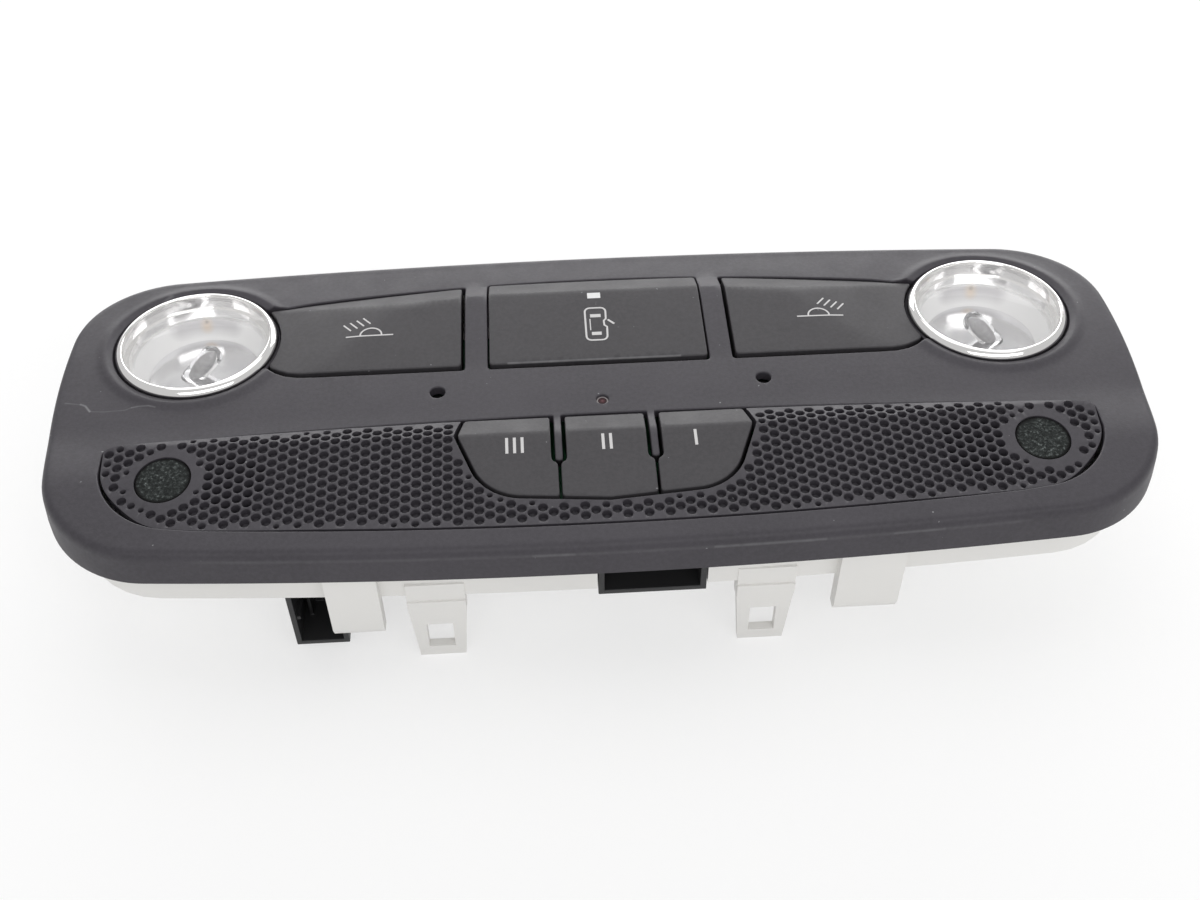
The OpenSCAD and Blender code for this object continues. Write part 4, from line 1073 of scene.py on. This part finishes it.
def dimple_sites(forms):
    """Places of the dimples on a lattice whose columns are offset, which of them are open holes, and their
    radii, which are less where an edge is near."""
    pitch = forms.dimple_pitch
    column = pitch * math.sqrt(3) / 2
    p = np.array([((i + 0.5) * column, -(j + (abs(i) % 2) / 2) * pitch - 2)
                  for i in range(-60, 60) for j in range(20)])
    edge = grille_loop()
    p = p[inside(p, edge)]
    room = np.minimum(distance_to(p, [dense(edge, 0.25)]) - forms.dimple_edge - DIMPLE_WEB,
                      np.hypot(np.abs(p[:, 0]) - MIC[0], p[:, 1] - MIC[1]) - FELT_R - FELT_RIM)
    choices = [share * forms.dimple_r for share in (1, 0.8, 0.6)]
    radii = np.select([room > r for r in choices], choices, 0.0)
    p, radii = p[radii > 0], radii[radii > 0]
    opened = np.hypot(np.abs(p[:, 0]) - OPEN_HOLES[0], p[:, 1] - OPEN_HOLES[1]) < OPEN_HOLES_R
    return p, opened, radii


def perforations(sites, radius, forms, depth, material):
    """Cups at the given places, made by geometry nodes and set on the grille's surface."""
    tree = bpy.data.node_groups.new("grille_perforations", "GeometryNodeTree")
    face = tree.interface
    sizes = {"Radius": radius, "Edge": forms.dimple_edge, "Depth": depth, "Crest height": GRILLE_CREST_H,
             "Crest place": GRILLE_CREST, "Front slope": GRILLE_SLOPE, "Rear slope": GRILLE_BEVEL,
             "End slope": END_SLOPE, "End start": END_FADE_FROM}
    face.new_socket("Geometry", in_out="INPUT", socket_type="NodeSocketGeometry")
    sockets = {name: face.new_socket(name, in_out="INPUT", socket_type="NodeSocketFloat") for name in sizes}
    count = face.new_socket("Sides", in_out="INPUT", socket_type="NodeSocketInt")
    finish = face.new_socket("Finish", in_out="INPUT", socket_type="NodeSocketMaterial")
    face.new_socket("Geometry", in_out="OUTPUT", socket_type="NodeSocketGeometry")
    given, result = tree.nodes.new("NodeGroupInput"), tree.nodes.new("NodeGroupOutput")
    link = tree.links.new

    def calc(operation, *values):
        return math_node(tree, operation, *values)

    def moved(piece, z):
        shift, made = tree.nodes.new("ShaderNodeCombineXYZ"), tree.nodes.new("GeometryNodeTransform")
        link(z, shift.inputs["Z"])
        link(piece, made.inputs["Geometry"])
        link(shift.outputs[0], made.inputs["Translation"])
        return made.outputs[0]

    def ring_wall(top, bottom, height, z):
        cone = tree.nodes.new("GeometryNodeMeshCone")
        cone.fill_type = "NONE"
        link(size["Sides"], cone.inputs["Vertices"])
        link(top, cone.inputs["Radius Top"])
        link(bottom, cone.inputs["Radius Bottom"])
        link(height, cone.inputs["Depth"])
        return moved(cone.outputs["Mesh"], z)

    size = given.outputs
    rim_r = calc("ADD", size["Radius"], size["Edge"])
    floor_r = calc("MULTIPLY", size["Radius"], DIMPLE_TAPER)
    wall_h = calc("SUBTRACT", size["Depth"], size["Edge"])
    # a cone stands on its base, so each wall is set down by what lies above it
    edge_z = calc("MULTIPLY", size["Edge"], -1.0)
    floor_z = calc("MULTIPLY", size["Depth"], -1.0)
    disc = tree.nodes.new("GeometryNodeMeshCircle")
    disc.fill_type = "NGON"
    link(size["Sides"], disc.inputs["Vertices"])
    link(floor_r, disc.inputs["Radius"])
    cup = tree.nodes.new("GeometryNodeJoinGeometry")
    for part in (ring_wall(rim_r, size["Radius"], size["Edge"], edge_z),
                 ring_wall(size["Radius"], floor_r, wall_h, floor_z), moved(disc.outputs["Mesh"], floor_z)):
        link(part, cup.inputs[0])
    spread = tree.nodes.new("GeometryNodeInstanceOnPoints")
    link(size["Geometry"], spread.inputs["Points"])
    link(cup.outputs[0], spread.inputs["Instance"])
    real = tree.nodes.new("GeometryNodeRealizeInstances")
    link(spread.outputs[0], real.inputs[0])
    position, parts = tree.nodes.new("GeometryNodeInputPosition"), tree.nodes.new("ShaderNodeSeparateXYZ")
    link(position.outputs[0], parts.inputs[0])
    from_crest = calc("ADD", parts.outputs["Y"], size["Crest place"])
    rise = calc("ADD", calc("MULTIPLY", from_crest, size["Front slope"]), size["Crest height"])
    fall = calc("SUBTRACT", size["Crest height"], calc("MULTIPLY", from_crest, size["Rear slope"]))
    past = calc("SUBTRACT", calc("ABSOLUTE", parts.outputs["X"]), size["End start"])
    end = calc("SUBTRACT", rise, calc("MULTIPLY", past, size["End slope"]))
    level = calc("MINIMUM", calc("MINIMUM", rise, fall), end)
    lift, raised = tree.nodes.new("ShaderNodeCombineXYZ"), tree.nodes.new("GeometryNodeSetPosition")
    link(level, lift.inputs["Z"])
    link(real.outputs[0], raised.inputs["Geometry"])
    link(lift.outputs[0], raised.inputs["Offset"])
    painted = tree.nodes.new("GeometryNodeSetMaterial")
    link(raised.outputs[0], painted.inputs["Geometry"])
    link(size["Finish"], painted.inputs["Material"])
    link(painted.outputs[0], result.inputs[0])

    points = bpy.data.meshes.new("grille_sites")
    points.from_pydata([(x, y, 0.0) for x, y in sites.tolist()], [], [])
    holder = bpy.data.objects.new("grille_sites", points)
    bpy.context.scene.collection.objects.link(holder)
    modifier = holder.modifiers.new("perforations", "NODES")
    modifier.node_group = tree
    for name, value in sizes.items():
        modifier[sockets[name].identifier] = float(value)
    modifier[count.identifier] = forms.dimple_sides
    modifier[finish.identifier] = material
    settle(holder)
    cups = holder.data
    bpy.data.objects.remove(holder)
    if len(cups.polygons) == 0:
        raise RuntimeError("the perforations are empty")
    for v in cups.vertices:
        v.co = on_part(v.co)
    return cups


# Profiles of the lamps' pieces, each a closed loop of radius and height round the piece's axis
LENS_R = RING_R - RING_W - 0.05
LENS_IN = LENS_R - 1.6
LAMP_TUBE = [(RING_R + 0.08, -1.0), (RING_R + 0.4, -1.3), (RING_R + 0.4, -11), (RING_R - 1.2, -11),
             (RING_R - 1.2, -6.2), (RING_R + 0.08, -6.2)]
RING = [(RING_R - RING_W, 0.3), (RING_R - 1.75, 0.8), (RING_R - 1.55, 1.0), (RING_R - 1.2, 0.98),
        (RING_R - 0.75, 0.7), (RING_R - 0.35, 0.25), (RING_R - 0.08, -0.2), (RING_R, -0.6),
        (RING_R, -5), (15.4, -5), (15.4, -2.6), (16, -2.6)]
LENS_TOP = [(LENS_R * t, 1.2 - 1.0 * t ** 2.6) for t in np.linspace(0, 1, 14)]
LENS_UNDER = [(LENS_IN * t, -0.6 - 1.0 * t ** 2.4) for t in np.linspace(1, 0, 10)]
LENS = LENS_TOP + [(LENS_R, -2.55), (LENS_R - 0.6, -2.55), (LENS_R - 0.6, -4.4), (LENS_IN, -4.4)] + LENS_UNDER
BOWL = [(17.3, -5.05), (17.2, -6.15), (16.5, -6.15), (16.4, -6.8), (13.1, -11.3), (0, -11.3), (0, -9.5),
        (12.5, -9.5), (12.6, -9.3), (13.0, -8.7), (13.7, -7.5), (14.3, -6.3), (14.7, -5.6), (14.9, -5.05)]
BOWL_FLOOR = [(0, -9.3), (12.45, -9.3), (12.45, -9.6), (0, -9.6)]
BULB_DOME = [(BULB_R * math.sin(a), BULB_L - BULB_R + BULB_R * math.cos(a))
             for a in np.linspace(0.2, 1.57, 8)]
BULB = [(0, BULB_L)] + BULB_DOME + [(BULB_R, 0), (2.1, -1.5), (1.6, -4.2), (0, -4.2)]
BULB_CORE = [(0, 9.3), (0.5, 8.9), (0.9, 7.9), (1.1, 6.2), (1.1, 4.0), (0.95, 2.0), (0.55, 0.4), (0, 0)]


def turned(profile, place, segments=128):
    skin = Skin()
    skin.spun(profile, place, segments)
    return skin


class CONSOLE_OT_lamps(bpy.types.Operator):
    """Make the bright rings, the clear lenses, the reflectors and the bulbs"""

    bl_idname = "console.lamps"
    bl_label = "Reading lamps"

    def execute(self, context):
        floor_shine = plain_finish("reflector_floor", (0.8, 0.795, 0.81), 0.16, 90.0, 0.1, Metallic=1)
        core_grey = plain_finish("bulb_core", (0.36, 0.35, 0.36), 0.5, 700.0, 0.2)
        for side, word in SIDES:
            place, by_bulb = at_lamp(side), at_bulb(side)
            for node, skin in (("lens_ring_", turned(RING, place)), ("lens_", turned(LENS, place)),
                               ("reflector_", turned(BOWL, place)), ("bulb_", turned(BULB, by_bulb, 40))):
                moulded_in_place_of(node + word, f"{node}{word}_finished", skin, 50)
            floor, core = turned(BOWL_FLOOR, place), turned(BULB_CORE, by_bulb, 24)
            skinned(f"reflector_floor_{word}", floor, floor_shine, "console", "reflector", 50)
            skinned(f"bulb_core_{word}", core, core_grey, "console", "mic_can", 50)
        return {"FINISHED"}


class CONSOLE_OT_signs(bpy.types.Operator):
    """Make the numerals and pictograms printed on the keys"""

    bl_idname = "console.signs"
    bl_label = "Printed signs"

    def execute(self, context):
        paint = Finish("printed_sign", tuple(context.scene.console_finishes.print_colour), 0.55).material
        numerals = ((3, (-20.7, -19.1, -17.5)), (2, (-0.7, 0.9)), (1, (18.6,)))
        for number, bars in numerals:
            strokes = [([(x, -12.1), (x, -16.2)], 0.62) for x in bars]
            self.print_on(f"preset_key_{number}", strokes, small_key_h, paint)
        for side, word in SIDES:
            self.print_on("reading_key_" + word, lamp_sign(side), side_h, paint)
        self.print_on("door_light_key", car_sign(), large_h, paint)
        return {"FINISHED"}

    def print_on(self, key, strokes, height, paint):
        skin = Skin()
        for points, width in strokes:
            stroke(skin, points, width, height)
        skinned("sign_" + key, skin, paint, BODY_OF[key], "light_window")


PRINT_LIFT, PRINT_SINK, SIGN_LINE = 0.03, -0.02, 0.36


def stroke(skin, points, width, height):
    """A flat printed line of the given width along the points, laid on the surface."""
    p = np.array(points, float)
    fine = [p[0]]
    for a, b in zip(p, p[1:]):
        n = max(1, int(np.linalg.norm(b - a) / 0.5))
        fine += [a + (b - a) * k / n for k in range(1, n + 1)]
    p = np.array(fine)
    closed = np.linalg.norm(p[0] - p[-1]) < 1e-6
    if closed:
        p = p[:-1]
        ahead = np.roll(p, -1, 0) - np.roll(p, 1, 0)
    else:
        ahead = np.gradient(p, axis=0)
    n = np.stack([-ahead[:, 1], ahead[:, 0]], 1) / np.linalg.norm(ahead, axis=1)[:, None]
    left, right = p + n * width / 2, p - n * width / 2
    corners = ((left, PRINT_LIFT), (right, PRINT_LIFT), (right, PRINT_SINK), (left, PRINT_SINK))
    rings = [skin.level(side, height(*side.T) + up) for side, up in corners]
    count = len(p)
    for k in range(4):
        a, b = rings[k], rings[(k + 1) % 4]
        for i in range(count if closed else count - 1):
            j = (i + 1) % count
            skin.faces.append((a[i], a[j], b[j], b[i]))
    if not closed:
        skin.faces += [tuple(r[0] for r in rings), tuple(r[-1] for r in rings)[::-1]]


def lamp_sign(side):
    """A half lamp on a line with four slanted rays."""
    cx, cy = 50.6, 22.9
    bow = [(cx + 2.4 * math.cos(a), cy + 0.2 + 2.2 * math.sin(a)) for a in np.linspace(0, math.pi, 15)]
    lines = [[(cx + 5.6, cy), (cx - 5.0, cy)], bow]
    for k in range(4):
        x, y = cx + 4.6 - 1.45 * k, cy + 2.1 + 0.62 * k
        lines.append([(x, y), (x + 1.75, y + 2.1)])
    return [([(side * x, y) for x, y in points], SIGN_LINE) for points in lines]


def car_sign():
    """A car seen from above with one door open."""
    front, back = 28.6, 18.2
    body = []
    for start, x, y in ((180, -1.2, front - 1.3), (90, 1.2, front - 1.3), (0, 1.2, back + 1.3),
                        (-90, -1.2, back + 1.3)):
        turn = [math.radians(start - t) for t in range(0, 91, 15)]
        body += [(x + 1.15 * math.cos(a), y + 1.25 * math.sin(a)) for a in turn]
    right = [i for i, (x, y) in enumerate(body) if x > 2.2]
    cut = right[len(right) // 2]
    body[cut:cut] = [(2.3, 24.9), (1.8, 24.3), (1.85, 22.9), (2.45, 22.3)]
    windows = [([(-w / 2, y), (w / 2, y)], 1.0) for y, w in ((26.0, 2.4), (20.3, 2.2))]
    door = [([(-1.3, 25.0), (-1.3, 21.4)], 0.24), ([(2.7, 24.6), (4.1, 23.2)], 0.5)]
    return [(body + [body[0]], 0.42)] + windows + door


class CONSOLE_OT_housing(bpy.types.Operator):
    """Make the rear housing, the connectors and the screws"""

    bl_idname = "console.housing"
    bl_label = "Rear housing"

    def execute(self, context):
        dressed("rear_housing", 0.35)
        dressed("main_connector", 0.2)
        dressed("side_connector", 0.2)
        dressed("housing_screws", 0.15)
        return {"FINISHED"}


class CONSOLE_OT_inner_parts(bpy.types.Operator):
    """Give the board, the switches, the microphones and the face lights their finishes"""

    bl_idname = "console.inner_parts"
    bl_label = "Inner parts"

    def execute(self, context):
        for _, word in SIDES:
            dressed("mic_felt_" + word, 0.3)
        for node, part in frame["nodes"].items():
            part.data.materials.clear()
            part.data.materials.append(finish_of(SLOT_OF[node]))
        return {"FINISHED"}


# the camera's elevation, azimuth and roll in degrees, and the face's origin as it sees it, in millimetres
CAMERA_ANGLES, CAMERA_PLACE = (47.393, -3.149, 0.436), (0.52, 10.99, -311.09)
FLOOR_SHARE, FLOOR_GLOW = 0.45, 0.55


class CONSOLE_OT_stage(bpy.types.Operator):
    """Make the floor, the lamps, the even light and the camera"""

    bl_idname = "console.stage"
    bl_label = "Stage"

    def execute(self, context):
        scene = context.scene
        s = scene.console_stage
        scene.view_settings.view_transform = "Standard"
        self.camera(scene, s)
        self.floor(s)
        self.sky(scene, s)
        self.lamp(scene, "top_light", (0.05, 0.22, 0.75), (0.9, 0.6), s.top_light)
        self.lamp(scene, "back_light", (0.1, 1.0, 0.3), (1.6, 0.5), s.back_light)
        self.lamp(scene, "front_light", (0.15, -0.82, 0.82), (1.4, 0.35), s.front_light)
        return {"FINISHED"}

    def lamp(self, scene, name, place, size, power):
        light = bpy.data.lights.new(name, "AREA")
        light.shape, light.size, light.size_y, light.energy = "RECTANGLE", *size, power
        holder = bpy.data.objects.new(name, light)
        holder.location = place
        holder.rotation_euler = (Vector((0, 0, 0.03)) - Vector(place)).to_track_quat("-Z", "Y").to_euler()
        scene.collection.objects.link(holder)

    def camera(self, scene, s):
        camera = bpy.data.cameras.new("photo_camera")
        camera.sensor_width, camera.lens = 36.0, s.lens
        camera.clip_start, camera.clip_end = 0.01, 20
        elevation, azimuth, roll = (math.radians(a) for a in CAMERA_ANGLES)
        turn = Matrix.Rotation(-azimuth, 3, "Z")
        tip = Matrix.Rotation(elevation - math.pi / 2, 3, "X")
        look = Matrix.Rotation(roll, 3, "Z") @ tip @ turn
        place = look.transposed() @ -Vector(CAMERA_PLACE)
        holder = bpy.data.objects.new("photo_camera", camera)
        holder.matrix_world = Matrix.Translation(Vector(on_part(place))) @ look.transposed().to_4x4()
        scene.collection.objects.link(holder)
        scene.camera = holder

    def floor(self, s):
        mesh = bpy.data.meshes.new("floor")
        mesh.from_pydata([(-3, -3, 0), (3, -3, 0), (3, 3, 0), (-3, 3, 0)], [], [(0, 1, 2, 3)])
        made = Finish("pale_floor", (0.8, 0.8, 0.8), 1.0, Specular_IOR_Level=0.0, Emission_Color=(1, 1, 1, 1))
        path = made.node("ShaderNodeLightPath")
        looked_at = made.math("ADD", path.outputs["Is Camera Ray"], path.outputs["Is Glossy Ray"])
        seen = made.math("MINIMUM", looked_at, 1.0)
        made.colour(made.mixed(seen, (0.8, 0.8, 0.8), scaled(s.floor_colour, FLOOR_SHARE)))
        made.tree.links.new(made.math("MULTIPLY", seen, FLOOR_GLOW), made.shader.inputs["Emission Strength"])
        mesh.materials.append(made.material)
        floor = bpy.data.objects.new("floor", mesh)
        bpy.context.scene.collection.objects.link(floor)

    def sky(self, scene, s):
        world = bpy.data.worlds.new("even_light")
        world.use_nodes = True
        tree = world.node_tree
        light = tree.nodes["Background"]
        light.inputs["Color"].default_value = (1, 1, 1, 1)
        light.inputs["Strength"].default_value = s.sky
        seen = tree.nodes.new("ShaderNodeBackground")
        seen.inputs["Color"].default_value = (1, 1, 1, 1)
        ray, mix = tree.nodes.new("ShaderNodeLightPath").outputs, tree.nodes.new("ShaderNodeMixShader")
        either = math_node(tree, "MAXIMUM", ray["Is Camera Ray"], ray["Is Transmission Ray"])
        tree.links.new(either, mix.inputs[0])
        tree.links.new(light.outputs[0], mix.inputs[1])
        tree.links.new(seen.outputs[0], mix.inputs[2])
        tree.links.new(mix.outputs[0], tree.nodes["World Output"].inputs["Surface"])
        scene.world = world


OPERATORS = [CONSOLE_OT_stage, CONSOLE_OT_bezel, CONSOLE_OT_grille, CONSOLE_OT_large_keys,
             CONSOLE_OT_small_keys, CONSOLE_OT_lamps, CONSOLE_OT_signs, CONSOLE_OT_housing,
             CONSOLE_OT_inner_parts]
SETTINGS = {"console_finishes": CONSOLE_PG_finishes, "console_forms": CONSOLE_PG_forms,
            "console_stage": CONSOLE_PG_stage}


class CONSOLE_PT_panel(bpy.types.Panel):
    """Lists the console's settings and makers"""

    bl_idname = "CONSOLE_PT_panel"
    bl_label = "Console lamp"
    bl_space_type = "VIEW_3D"
    bl_region_type = "UI"
    bl_category = "Console"

    def draw(self, context):
        for name, group in SETTINGS.items():
            box = self.layout.box()
            for key in group.__annotations__:
                box.prop(getattr(context.scene, name), key)
        for maker in OPERATORS:
            self.layout.operator(maker.bl_idname)


CLASSES = [*SETTINGS.values(), *OPERATORS, CONSOLE_PT_panel]


def register():
    for made in CLASSES:
        bpy.utils.register_class(made)
    for name, group in SETTINGS.items():
        setattr(bpy.types.Scene, name, bpy.props.PointerProperty(type=group))


def unregister():
    for name in SETTINGS:
        delattr(bpy.types.Scene, name)
    for made in reversed(CLASSES):
        bpy.utils.unregister_class(made)


def main():
    register()
    for maker in OPERATORS:
        group, name = maker.bl_idname.split(".")
        getattr(getattr(bpy.ops, group), name)()


if __name__ == "__main__":
    main()
